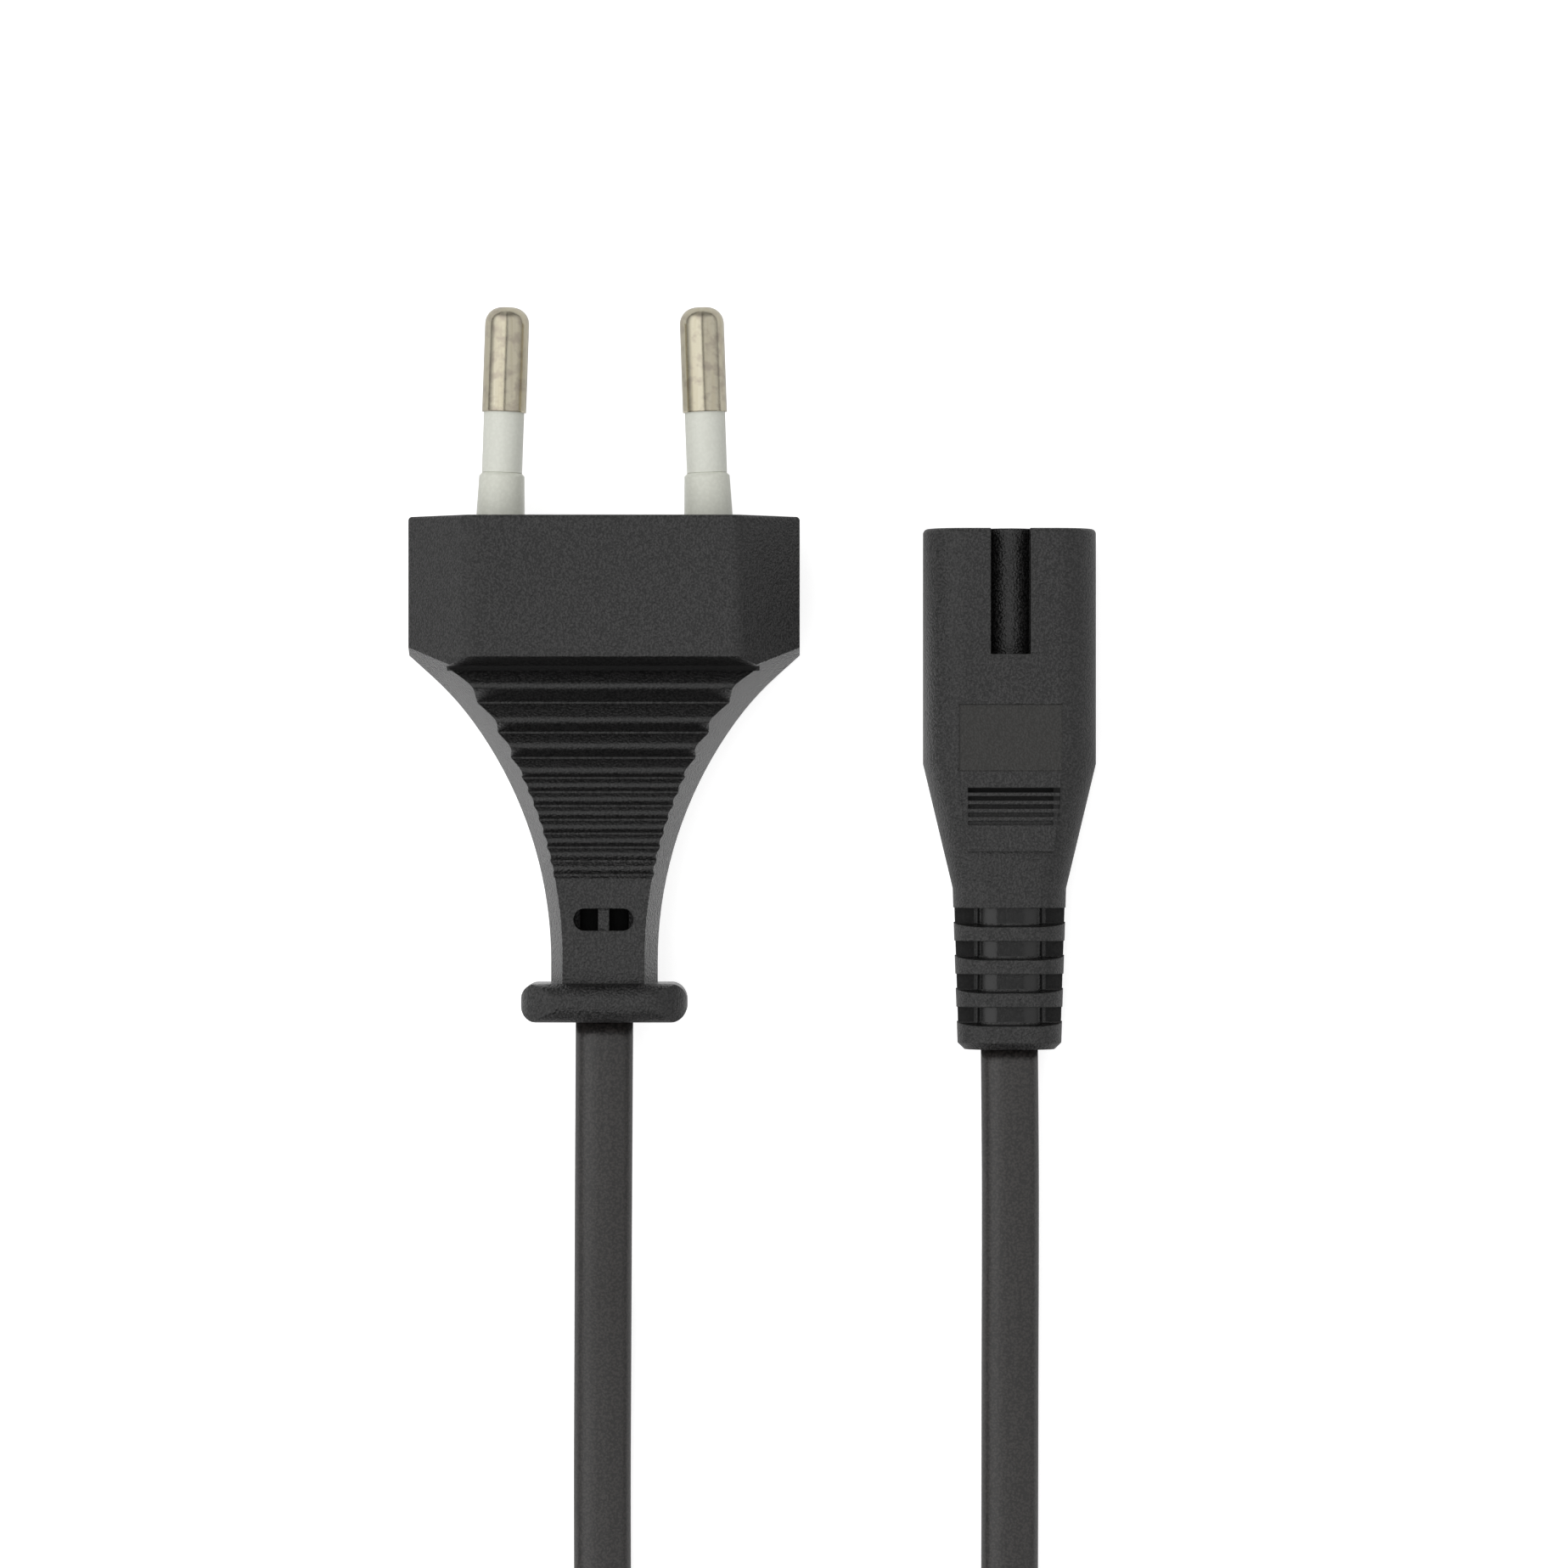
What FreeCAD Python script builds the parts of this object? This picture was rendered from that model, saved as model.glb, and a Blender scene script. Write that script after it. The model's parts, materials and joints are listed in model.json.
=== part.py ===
import FreeCAD, Part
import math
import os
import re
import Sketcher

# Figure-eight mains lead: a flat two-pin plug and a figure-eight connector on one flat cord.
# The lead lies on a table. X runs from the plug to the connector, +Y points out of both
# mating faces and +Z is up. The origin is on the table, under the middle of the two ends.

doc = FreeCAD.newDocument("figure_eight_power_lead")

# Driving sizes in millimetres, and degrees for the names that end in angle or draft.
SIZES = [
    # Plug moulding
    ("head_width", 35.3),
    ("head_thickness", 13.7),
    ("head_flat_width", 24.4),
    ("head_edge_radius", 1.6),
    ("head_length", 12.7),
    ("facet_rise", 5.4),
    ("shoulder_angle", 48.0),
    ("shoulder_radius", 26.6),
    ("waist_angle", 36.0),
    ("waist_radius", 36.8),
    ("waist_start_y", 40.13),
    ("neck_half_width", 4.82),
    ("flank_draft", 20.0),
    ("neck_thickness", 6.0),
    ("neck_rise", 0.35),
    ("face_edge_radius", 0.35),
    # Scooped grip and fine ridges on the plug
    ("step_drop", 1.4),
    ("crest_y", 15.28),
    ("crest_gap_first", 3.05),
    ("crest_gap_second", 2.33),
    ("crest_gap_third", 2.2),
    ("crest_width", 0.75),
    ("crest_radius", 0.5),
    ("crest_drop", 0.45),
    ("scoop_slope_angle", 40.0),
    ("trough_width", 0.25),
    ("trough_radius", 0.17),
    ("ridge_y", 24.21),
    ("ridge_pitch", 1.243),
    ("ridge_width", 0.62),
    ("ridge_radius", 0.4),
    ("ridge_drop", 0.25),
    ("ridge_end_run", 0.62),
    # Plug flange and window
    ("flange_y", 42.05),
    ("flange_length", 3.5),
    ("flange_width", 15.0),
    ("flange_height", 9.6),
    ("flange_corner_radius", 3.6),
    ("flange_edge_radius", 1.5),
    ("window_y", 36.3),
    ("window_width", 5.4),
    ("window_height", 2.0),
    ("window_web", 1.0),
    ("web_recess", 0.3),
    ("window_membrane", 0.4),
    # Pins, sleeves and the insert that carries them
    ("pin_spacing", 18.8),
    ("pin_tilt_angle", 1.96),
    ("pin_length", 19.0),
    ("pin_diameter", 4.0),
    ("pin_tip_radius", 1.5),
    ("pin_metal_length", 9.5),
    ("pin_shank_diameter", 3.0),
    ("sleeve_diameter", 3.65),
    ("boss_diameter", 4.4),
    ("boss_top_diameter", 4.1),
    ("boss_top_bevel", 0.3),
    ("boss_length", 4.05),
    ("bridge_width", 26.5),
    ("bridge_height", 7.4),
    ("bridge_depth", 6.5),
    ("bridge_cover", 1.6),
    ("bridge_corner_radius", 2.4),
    ("pin_tail_length", 1.2),
    ("crimp_diameter", 3.2),
    ("crimp_length", 5.0),
    ("crimp_web", 1.0),
    # Cord
    ("cord_width", 5.2),
    ("cord_thickness", 3.2),
    ("core_diameter", 2.1),
    ("conductor_diameter", 1.1),
    ("core_spacing", 2.3),
    ("conductor_grip", 2.0),
    ("plug_sheath_y", 38.2),
    ("connector_sheath_y", 31.5),
    ("core_splay", 3.0),
    # Connector moulding
    ("connector_width", 15.7),
    ("connector_thickness", 7.9),
    ("connector_side_radius", 3.6),
    ("connector_straight", 21.3),
    ("connector_taper_end", 32.6),
    ("taper_width", 10.3),
    ("taper_thickness", 6.5),
    ("taper_side_radius", 3.0),
    ("connector_length", 47.2),
    ("tail_width", 9.4),
    ("tail_thickness", 6.0),
    ("tail_side_radius", 2.8),
    ("nose_edge_radius", 0.45),
    ("tail_bevel", 0.6),
    ("slot_width", 3.6),
    ("slot_length", 11.4),
    ("slot_depth", 2.75),
    ("slot_rib_radius", 2.1),
    # Thumb pad of the connector
    ("pad_front_y", 15.95),
    ("pad_grip_y", 21.95),
    ("pad_back_y", 29.25),
    ("pad_width", 9.3),
    ("pad_back_width", 7.9),
    ("pad_recess", 0.15),
    ("grip_recess", 0.08),
    ("groove_y", 23.7),
    ("groove_pitch", 0.74),
    ("groove_width", 0.38),
    ("groove_depth", 0.42),
    ("groove_fade", 0.05),
    ("groove_margin", 0.1),
    # Bend relief of the connector
    ("relief_y", 34.35),
    ("relief_pitch", 3.0),
    ("relief_gap", 1.3),
    ("relief_lean", 0.55),
    ("relief_tube_width", 6.3),
    ("relief_tube_thickness", 4.2),
    ("relief_tube_radius", 1.95),
    ("relief_rail_thickness", 2.0),
    ("relief_rail_inset", 0.12),
    # Contacts of the connector and the insert that carries them
    ("contact_spacing", 8.6),
    ("contact_bore", 2.5),
    ("contact_wall", 0.45),
    ("contact_length", 12.0),
    ("contact_slit", 0.5),
    ("mouth_length", 1.6),
    ("carrier_barrel_radius", 2.55),
    ("carrier_web", 1.7),
    ("contact_neck", 1.0),
    ("contact_crimp_length", 5.5),
    # How far a cutting outline reaches past the face that it cuts
    ("cut_margin", 2.0),
    # Places of the two ends
    ("axis_spacing", 36.7),
    ("connector_setback", 0.96),
    # Put-away coil and its tie
    ("coil_x", 4.9),
    ("coil_y", 140.0),
    ("coil_mean_radius", 27.3),
    ("coil_columns", 4.8),
    ("coil_pitch", 3.3),
    ("coil_lift", 0.8),
    ("lead_in_length", 23.0),
    ("lead_in_angle", 20.0),
    ("tie_width", 4.0),
    ("tie_thickness", 0.65),
    ("tie_gap", 0.1),
    ("tie_corner_radius", 0.2),
    ("tie_tail_length", 9.0),
    ("tie_tail_diameter", 2.2),
]
RIDGES = 7
GROOVES = 5
RELIEF_SLOTS = 4

sheet = doc.addObject("Spreadsheet::Sheet", "sizes")
for row, (alias, value) in enumerate(SIZES, start=1):
    sheet.set(f"A{row}", alias)
    sheet.set(f"B{row}", str(value))
    sheet.setAlias(f"B{row}", alias)
doc.recompute()

ALIASES = {alias for alias, value in SIZES}


def formula(text):
    """Write a formula over the sizes the way the document's expressions name them."""
    return re.sub(r"[a-z_]+", lambda word: "sizes." + word[0] if word[0] in ALIASES else word[0], text)


def worth(text):
    """The number that a formula over the sizes gives now."""
    return float(sheet.evalExpression(formula(text)))


def bind(item, path, text):
    """Tie one property of an object to a formula over the sizes."""
    item.setExpression(path, formula(text))


# Shared places, as formulas over the sizes
PLUG_X = "((head_width / 2 - axis_spacing - connector_width / 2) / 2)"
PLUG_Y = "((connector_length + connector_setback - pin_length) / 2)"
PLUG_Z = "(head_thickness / 2)"
CONNECTOR_X = f"({PLUG_X} + axis_spacing)"
CONNECTOR_Y = f"({PLUG_Y} - connector_setback)"
CONNECTOR_Z = "(connector_thickness / 2)"


def place(item, x, y, z):
    """Stand an object at a point given by three formulas."""
    bind(item, "Placement.Base.x", x)
    bind(item, "Placement.Base.y", y)
    bind(item, "Placement.Base.z", z)
    return item


def in_plug(item, x="0", y="0", z="0"):
    """Stand an object in the plug's frame: mating face at Y 0, parting plane at Z 0."""
    return place(item, f"{PLUG_X} + {x}", f"{PLUG_Y} + {y}", f"{PLUG_Z} + {z}")


def in_connector(item, x="0", y="0", z="0"):
    """Stand an object in the connector's frame: front face at Y 0, parting plane at Z 0."""
    return place(item, f"{CONNECTOR_X} + {x}", f"{CONNECTOR_Y} + {y}", f"{CONNECTOR_Z} + {z}")


def origin_feature(body, role):
    """One origin plane or axis of a body."""
    return next(item for item in body.Origin.OriginFeatures if item.Role == role)


def new_body(name):
    """An empty body."""
    return doc.addObject("PartDesign::Body", name)


def new_sketch(body, name, role, offset="0"):
    """A sketch on an origin plane of its own body, moved along the plane's normal."""
    sketch = body.newObject("Sketcher::SketchObject", name)
    sketch.AttachmentSupport = [(origin_feature(body, role), "")]
    sketch.MapMode = "FlatFace"
    bind(sketch, "AttachmentOffset.Base.z", offset)
    return sketch


def bound(sketch, kind, places, text):
    """Add one dimension to a sketch and tie it to a formula."""
    index = sketch.addConstraint(Sketcher.Constraint(kind, *places, worth(text)))
    sketch.setExpression(f"Constraints[{index}]", formula(text))


def arc_between(start, end, radius, side):
    """The short arc from start to end, bulging to the left of the way when side is 1."""
    chord = end - start
    middle = (start + end) * 0.5
    normal = FreeCAD.Vector(-chord.y, chord.x, 0).normalize()
    rise = math.sqrt(max(radius ** 2 - (chord.Length / 2) ** 2, 0))
    centre = middle - normal * rise * side
    first = math.atan2(start.y - centre.y, start.x - centre.x)
    last = math.atan2(end.y - centre.y, end.x - centre.x)
    circle = Part.Circle(centre, FreeCAD.Vector(0, 0, 1), radius)
    if side > 0:
        return Part.ArcOfCircle(circle, last, first)
    return Part.ArcOfCircle(circle, first, last)


def outline(sketch, points, arcs=None):
    """Draw a closed outline through points, each a pair of formulas.

    arcs gives, for the number of a point, the radius and side of the arc that leaves it;
    the other points are left by straight lines.
    """
    arcs = arcs or {}
    corners = [FreeCAD.Vector(worth(across), worth(up), 0) for across, up in points]
    count = len(corners)
    ends = []
    for number, corner in enumerate(corners):
        following = corners[(number + 1) % count]
        if number in arcs:
            radius, side = arcs[number]
            index = sketch.addGeometry(arc_between(corner, following, worth(radius), side), False)
            bound(sketch, "Radius", (index,), radius)
            ends.append((index, 2, 1) if side > 0 else (index, 1, 2))
        else:
            index = sketch.addGeometry(Part.LineSegment(corner, following), False)
            ends.append((index, 1, 2))
    for number, (index, start, end) in enumerate(ends):
        next_index, next_start, next_end = ends[(number + 1) % count]
        sketch.addConstraint(Sketcher.Constraint("Coincident", index, end, next_index, next_start))
    for (index, start, end), (across, up) in zip(ends, points):
        bound(sketch, "DistanceX", (-1, 1, index, start), across)
        bound(sketch, "DistanceY", (-1, 1, index, start), up)


def circle(sketch, across, up, radius):
    """Draw one circle."""
    centre = FreeCAD.Vector(worth(across), worth(up), 0)
    index = sketch.addGeometry(Part.Circle(centre, FreeCAD.Vector(0, 0, 1), worth(radius)), False)
    bound(sketch, "DistanceX", (-1, 1, index, 3), across)
    bound(sketch, "DistanceY", (-1, 1, index, 3), up)
    bound(sketch, "Radius", (index,), radius)


def rounded_rectangle(sketch, half_width, half_height, radius, across="0", up="0"):
    """Draw a rectangle with round corners about a centre."""
    right, top = f"({across} + {half_width})", f"({up} + {half_height})"
    left, foot = f"({across} - {half_width})", f"({up} - {half_height})"
    points = [
        (f"{left} + {radius}", foot), (f"{right} - {radius}", foot),
        (right, f"{foot} + {radius}"), (right, f"{top} - {radius}"),
        (f"{right} - {radius}", top), (f"{left} + {radius}", top),
        (left, f"{top} - {radius}"), (left, f"{foot} + {radius}"),
    ]
    outline(sketch, points, {number: (radius, -1) for number in (1, 3, 5, 7)})


def pad(body, name, sketch, length, both_ways=False):
    """Raise a sketch along its normal, or as far both ways when both_ways is set."""
    feature = body.newObject("PartDesign::Pad", name)
    feature.Profile = sketch
    feature.SideType = "Symmetric" if both_ways else "One side"
    bind(feature, "Length", length)
    return feature


def pocket_through(body, name, sketch, upward=False):
    """Cut a sketch right through: both ways, or only along its normal when upward is set."""
    feature = body.newObject("PartDesign::Pocket", name)
    feature.Profile = sketch
    feature.Type = "ThroughAll"
    if upward:
        feature.Reversed = True
    else:
        feature.SideType = "Symmetric"
    return feature


def revolve(body, name, sketch, axis):
    """Turn a sketch once about one of its own axes."""
    feature = body.newObject("PartDesign::Revolution", name)
    feature.Profile = sketch
    feature.ReferenceAxis = (sketch, [axis])
    feature.Angle = 360
    return feature


def mirror_up_down(body, name, features):
    """Repeat features on the other side of the body's parting plane."""
    feature = body.newObject("PartDesign::Mirrored", name)
    feature.Originals = features
    feature.MirrorPlane = (origin_feature(body, "XY_Plane"), [""])
    body.Tip = feature
    return feature


def round_edges(body, name, base, chosen, radius):
    """Fillet the edges of a feature that a test picks."""
    doc.recompute()
    names = [f"Edge{number}" for number, edge in enumerate(base.Shape.Edges, start=1) if chosen(edge)]
    feature = body.newObject("PartDesign::Fillet", name)
    feature.Base = (base, names)
    bind(feature, "Radius", radius)
    return feature


def bevel_edges(body, name, base, chosen, size):
    """Chamfer the edges of a feature that a test picks."""
    doc.recompute()
    names = [f"Edge{number}" for number, edge in enumerate(base.Shape.Edges, start=1) if chosen(edge)]
    feature = body.newObject("PartDesign::Chamfer", name)
    feature.Base = (base, names)
    bind(feature, "Size", size)
    return feature


def lies_at_y(edge, y):
    """True for an edge whose whole length is at one Y in its body's own frame."""
    box = edge.BoundBox
    return abs(box.YMin - y) < 0.01 and abs(box.YMax - y) < 0.01


def twin(name, source, x):
    """The left-hand copy of a right-hand piece, mirrored about an upright plane at x."""
    copy = doc.addObject("Part::Mirroring", name)
    copy.Source = source
    copy.Normal = FreeCAD.Vector(1, 0, 0)
    bind(copy, "Base.x", x)
    return copy


def fuse(name, pieces):
    """One tool made of several pieces."""
    item = doc.addObject("Part::MultiFuse", name)
    item.Shapes = pieces
    return item


def cut(name, base, tool):
    """A piece with a tool taken out of it."""
    item = doc.addObject("Part::Cut", name)
    item.Base = base
    item.Tool = tool
    return item


def rounded_path(points, printed_as=None):
    """Straight runs joined by tangent arcs, each arc as large as its two runs allow."""
    runs = [end - start for start, end in zip(points, points[1:])]
    edges, radii = [], []
    here = points[0]
    for corner, before, after in zip(points[1:], runs, runs[1:]):
        half_turn = before.getAngle(after) / 2
        reach = 0.45 * min(before.Length, after.Length)
        radii.append(reach / math.tan(half_turn))
        back = FreeCAD.Vector(before).normalize() * -reach
        ahead = FreeCAD.Vector(after).normalize() * reach
        inward = (back + ahead).normalize()
        middle = corner + inward * radii[-1] * (1 / math.cos(half_turn) - 1)
        edges.append(Part.LineSegment(here, corner + back).toShape())
        edges.append(Part.Arc(corner + back, middle, corner + ahead).toShape())
        here = corner + ahead
    edges.append(Part.LineSegment(here, points[-1]).toShape())
    if printed_as:
        print(printed_as, "arc radii", [round(radius, 1) for radius in radii])
    return Part.Wire(edges)


def flat_oval(centre, along, width, thickness):
    """The cord's section at a point, square to a direction and lying flat, as a wire."""
    ahead = FreeCAD.Vector(along).normalize()
    across = ahead.cross(FreeCAD.Vector(0, 0, 1)).normalize()
    up = across.cross(ahead).normalize()
    radius = thickness / 2
    straight = width / 2 - radius
    top_left = centre - across * straight + up * radius
    top_right = centre + across * straight + up * radius
    foot_right = centre + across * straight - up * radius
    foot_left = centre - across * straight - up * radius
    return Part.Wire([
        Part.LineSegment(top_left, top_right).toShape(),
        Part.Arc(top_right, centre + across * (width / 2), foot_right).toShape(),
        Part.LineSegment(foot_right, foot_left).toShape(),
        Part.Arc(foot_left, centre - across * (width / 2), top_left).toShape(),
    ])


def sweep(path, section):
    """A solid swept along a path of lines and arcs."""
    return path.makePipeShell([section], True, False)


def shape_feature(name, shape):
    """A document object that holds a shape."""
    item = doc.addObject("Part::Feature", name)
    item.Shape = shape
    return item


# Plug moulding: plan outline with drafted flanks, trimmed to the head's section and the side profile
def plug_plan(sketch):
    """The concave plan outline, wider than the head so that only its flanks cut."""
    margin = "head_thickness / 2"
    waist_x = "(neck_half_width + waist_radius * (1 - cos(waist_angle * 1deg)))"
    waist_y = "(waist_radius * sin(waist_angle * 1deg) - waist_start_y)"
    turn_x = "(cos(waist_angle * 1deg) - cos(shoulder_angle * 1deg))"
    turn_y = "(sin(shoulder_angle * 1deg) - sin(waist_angle * 1deg))"
    shoulder_x = f"({waist_x} + shoulder_radius * {turn_x})"
    shoulder_y = f"({waist_y} + shoulder_radius * {turn_y})"
    outer_x = f"(head_width / 2 + {margin})"
    outer_y = f"({shoulder_y} + ({outer_x} - {shoulder_x}) / tan(shoulder_angle * 1deg))"
    foot_y = "(-flange_y - flange_length / 2)"
    points = [
        ("-neck_half_width", foot_y), ("neck_half_width", foot_y),
        ("neck_half_width", "-waist_start_y"), (waist_x, waist_y), (shoulder_x, shoulder_y),
        (outer_x, outer_y), (outer_x, margin), (f"-{outer_x}", margin), (f"-{outer_x}", outer_y),
        (f"-{shoulder_x}", shoulder_y), (f"-{waist_x}", waist_y), ("-neck_half_width", "-waist_start_y"),
    ]
    outline(sketch, points, {
        2: ("waist_radius", 1), 3: ("shoulder_radius", 1),
        9: ("shoulder_radius", 1), 10: ("waist_radius", 1),
    })


def head_section(sketch):
    """A frame around the head's six-sided section, whose four long edges are rounded."""
    side_z = "(head_thickness / 2 - facet_rise)"
    facet_x = "((head_width - head_flat_width) / 2)"
    slope = f"atan(facet_rise / {facet_x})"
    reach = f"(head_edge_radius * tan({slope} / 2))"
    flat_end = f"(head_flat_width / 2 - {reach})"
    facet_start = f"(head_flat_width / 2 + {reach} * cos({slope}))"
    facet_z = f"(head_thickness / 2 - {reach} * sin({slope}))"
    half = "head_thickness / 2"
    points = [
        (f"-{flat_end}", half), (flat_end, half), (facet_start, facet_z), ("head_width / 2", side_z),
        ("head_width / 2", f"-{side_z}"), (facet_start, f"-{facet_z}"), (flat_end, f"-{half}"),
        (f"-{flat_end}", f"-{half}"), (f"-{facet_start}", f"-{facet_z}"),
        ("-head_width / 2", f"-{side_z}"), ("-head_width / 2", side_z), (f"-{facet_start}", facet_z),
    ]
    outline(sketch, points, {number: ("head_edge_radius", 1) for number in (1, 5, 7, 11)})
    frame_x, frame_z = "(head_width)", "(head_thickness)"
    outline(sketch, [
        (f"-{frame_x}", f"-{frame_z}"), (frame_x, f"-{frame_z}"),
        (frame_x, frame_z), (f"-{frame_x}", frame_z),
    ])


def side_profile(sketch):
    """Everything above the grip: the step behind the head, the treads, the ridges and the neck."""
    top = "(head_thickness / 2)"
    crown = f"({top} + cut_margin)"
    neck_top = "(neck_thickness / 2 + neck_rise)"
    points = [("-head_length", crown), ("-head_length", top)]
    arcs = {}

    def scoop_to(y, z):
        """Cut a V with a rounded bottom between the last point and the next one, which is lower."""
        last_y = points[-1][0]
        bottom_y = f"(({last_y} + {y}) / 2)"
        fall = f"(({last_y} - {y} - trough_width) / 2 * tan(scoop_slope_angle * 1deg))"
        points.append((f"({bottom_y} + trough_width / 2)", f"({z} - {fall})"))
        arcs[len(points) - 1] = ("trough_radius", 1)
        points.append((f"({bottom_y} - trough_width / 2)", f"({z} - {fall})"))
        points.append((y, z))

    def crest_at(centre, z, width, radius):
        """Hollow the grip up to a rounded crest, then pass over the crest."""
        scoop_to(f"({centre} + {width} / 2)", z)
        arcs[len(points) - 1] = (radius, -1)
        points.append((f"({centre} - {width} / 2)", z))

    centre, z = "(-crest_y)", f"({top} - step_drop)"
    crest_at(centre, z, "crest_width", "crest_radius")
    for gap in ("crest_gap_first", "crest_gap_second", "crest_gap_third"):
        centre, z = f"({centre} - {gap})", f"({z} - crest_drop)"
        crest_at(centre, z, "crest_width", "crest_radius")
    fall = f"(({z} - ridge_drop - {neck_top}) / {RIDGES})"
    for number in range(RIDGES):
        centre = f"(-ridge_y - {number} * ridge_pitch)"
        crest_at(centre, f"({z} - ridge_drop - {number} * {fall})", "ridge_width", "ridge_radius")
    scoop_to(f"(-ridge_y - {RIDGES - 1} * ridge_pitch - ridge_width / 2 - ridge_end_run)", neck_top)
    end = "(-flange_y - flange_length)"
    points.extend([(end, "neck_thickness / 2"), (end, crown)])
    outline(sketch, points, arcs)


def window_half(sketch, side):
    """One end of the slotted window, from the web to its round end."""
    radius = "(window_height / 2)"
    tip, flat, web = "(window_width / 2)", "(window_width / 2 - window_height / 2)", "(window_web / 2)"
    sign = "" if side > 0 else "-"
    points = [
        (f"{sign}{web}", f"-window_y - {radius}"), (f"{sign}{flat}", f"-window_y - {radius}"),
        (f"{sign}{tip}", "-window_y"), (f"{sign}{flat}", f"-window_y + {radius}"),
        (f"{sign}{web}", f"-window_y + {radius}"),
    ]
    outline(sketch, points, {1: (radius, -side), 2: (radius, -side)})


def make_flange():
    """The flange at the cord's exit: a plate with round corners, rounded in plan and from the side."""
    body = new_body("plug_flange")
    rim = new_sketch(body, "flange_outline", "XZ_Plane", "flange_y")
    rounded_rectangle(rim, "(flange_width / 2)", "(flange_height / 2)", "flange_corner_radius")
    pad(body, "flange_pad", rim, "flange_length")
    half_length, middle = "(flange_length / 2)", "(-flange_y - flange_length / 2)"
    past = "(flange_width + cut_margin)"
    frames = (
        ("flange_ends", "XY_Plane", "(flange_width / 2)", half_length, "0", middle),
        ("flange_faces", "YZ_Plane", half_length, "(flange_height / 2)", middle, "0"),
    )
    for name, role, half_width, half_height, across, up in frames:
        frame = new_sketch(body, f"{name}_outline", role)
        rounded_rectangle(frame, half_width, half_height, "flange_edge_radius", across, up)
        outline(frame, [
            (f"{across} - {past}", f"{up} - {past}"), (f"{across} + {past}", f"{up} - {past}"),
            (f"{across} + {past}", f"{up} + {past}"), (f"{across} - {past}", f"{up} + {past}"),
        ])
        pocket_through(body, f"{name}_cut", frame)
    return in_plug(body)


def make_plug_form():
    """The plug's outside, as one moulding without its insert."""
    body = new_body("plug_form")
    plan = new_sketch(body, "plug_plan", "XY_Plane")
    plug_plan(plan)
    funnel = body.newObject("PartDesign::Pad", "plug_funnel")
    funnel.Profile = plan
    funnel.SideType = "Two sides"
    bind(funnel, "Length", "head_thickness / 2")
    bind(funnel, "Length2", "head_thickness / 2")
    bind(funnel, "TaperAngle", "-flank_draft")
    bind(funnel, "TaperAngle2", "-flank_draft")

    section = new_sketch(body, "plug_section", "XZ_Plane")
    head_section(section)
    pocket_through(body, "plug_section_cut", section)

    front = new_sketch(body, "plug_front", "XY_Plane")
    outline(front, [("-head_width", "0"), ("head_width", "0"),
                    ("head_width", "head_width"), ("-head_width", "head_width")])
    front_cut = pocket_through(body, "plug_front_cut", front)
    round_edges(body, "face_edge", front_cut, lambda edge: lies_at_y(edge, 0), "face_edge_radius")

    profile = new_sketch(body, "plug_profile", "YZ_Plane")
    side_profile(profile)
    profile_cut = pocket_through(body, "plug_profile_cut", profile)
    mirror_up_down(body, "plug_profile_below", [profile_cut])

    opening_floor = "(window_membrane / 2)"
    cuts = []
    for side, name in ((1, "right"), (-1, "left")):
        half = new_sketch(body, f"window_{name}", "XY_Plane", opening_floor)
        window_half(half, side)
        cuts.append(pocket_through(body, f"window_cut_{name}", half, upward=True))
    lip = new_sketch(body, "window_web_top", "XY_Plane", "neck_thickness / 2 + neck_rise / 2 - web_recess")
    reach = "(window_width / 2 - window_height / 2)"
    outline(lip, [
        (f"-{reach}", "-window_y - window_height / 2"), (reach, "-window_y - window_height / 2"),
        (reach, "-window_y + window_height / 2"), (f"-{reach}", "-window_y + window_height / 2"),
    ])
    cuts.append(pocket_through(body, "window_web_cut", lip, upward=True))
    mirror_up_down(body, "window_below", cuts)
    return fuse("plug_outside", [in_plug(body), make_flange()])


# Pins, their sleeves and the hard insert that holds them
def make_pin():
    """A turned pin with a domed head, a thinner shank and a hollow crimp tail."""
    body = new_body("pin_right")
    sketch = new_sketch(body, "pin_profile", "XY_Plane")
    tail_y = "(-bridge_cover - bridge_depth - pin_tail_length)"
    end_y = f"({tail_y} - crimp_length)"
    bore = "(conductor_diameter / 2)"
    points = [
        ("0", "pin_length"), ("pin_diameter / 2 - pin_tip_radius", "pin_length"),
        ("pin_diameter / 2", "pin_length - pin_tip_radius"),
        ("pin_diameter / 2", "pin_length - pin_metal_length"),
        ("pin_shank_diameter / 2", "pin_length - pin_metal_length"),
        ("pin_shank_diameter / 2", tail_y), ("crimp_diameter / 2", tail_y),
        ("crimp_diameter / 2", end_y), (bore, end_y),
        (bore, f"{tail_y} - crimp_web"), ("0", f"{tail_y} - crimp_web"),
    ]
    outline(sketch, points, {1: ("pin_tip_radius", 1)})
    revolve(body, "pin_turned", sketch, "V_Axis")
    return body


def make_sleeve():
    """The insulating sleeve between the insert's boss and the bare end of the pin."""
    body = new_body("pin_sleeve_right")
    sketch = new_sketch(body, "sleeve_profile", "XY_Plane")
    inner, outer = "pin_shank_diameter / 2", "sleeve_diameter / 2"
    top = "pin_length - pin_metal_length"
    outline(sketch, [(inner, "boss_length"), (outer, "boss_length"), (outer, top), (inner, top)])
    revolve(body, "sleeve_turned", sketch, "V_Axis")
    return body


def make_boss():
    """The thick root around one pin, part of the insert."""
    body = new_body("bridge_boss_right")
    sketch = new_sketch(body, "boss_profile", "XY_Plane")
    root = "-bridge_cover - bridge_depth / 2"
    top = "(boss_top_diameter / 2)"
    outline(sketch, [
        ("0", root), ("boss_diameter / 2", root), ("boss_diameter / 2", "0"),
        (top, "boss_length - boss_top_bevel"), (f"{top} - boss_top_bevel", "boss_length"),
        ("0", "boss_length"),
    ])
    revolve(body, "boss_turned", sketch, "V_Axis")
    return body


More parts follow.
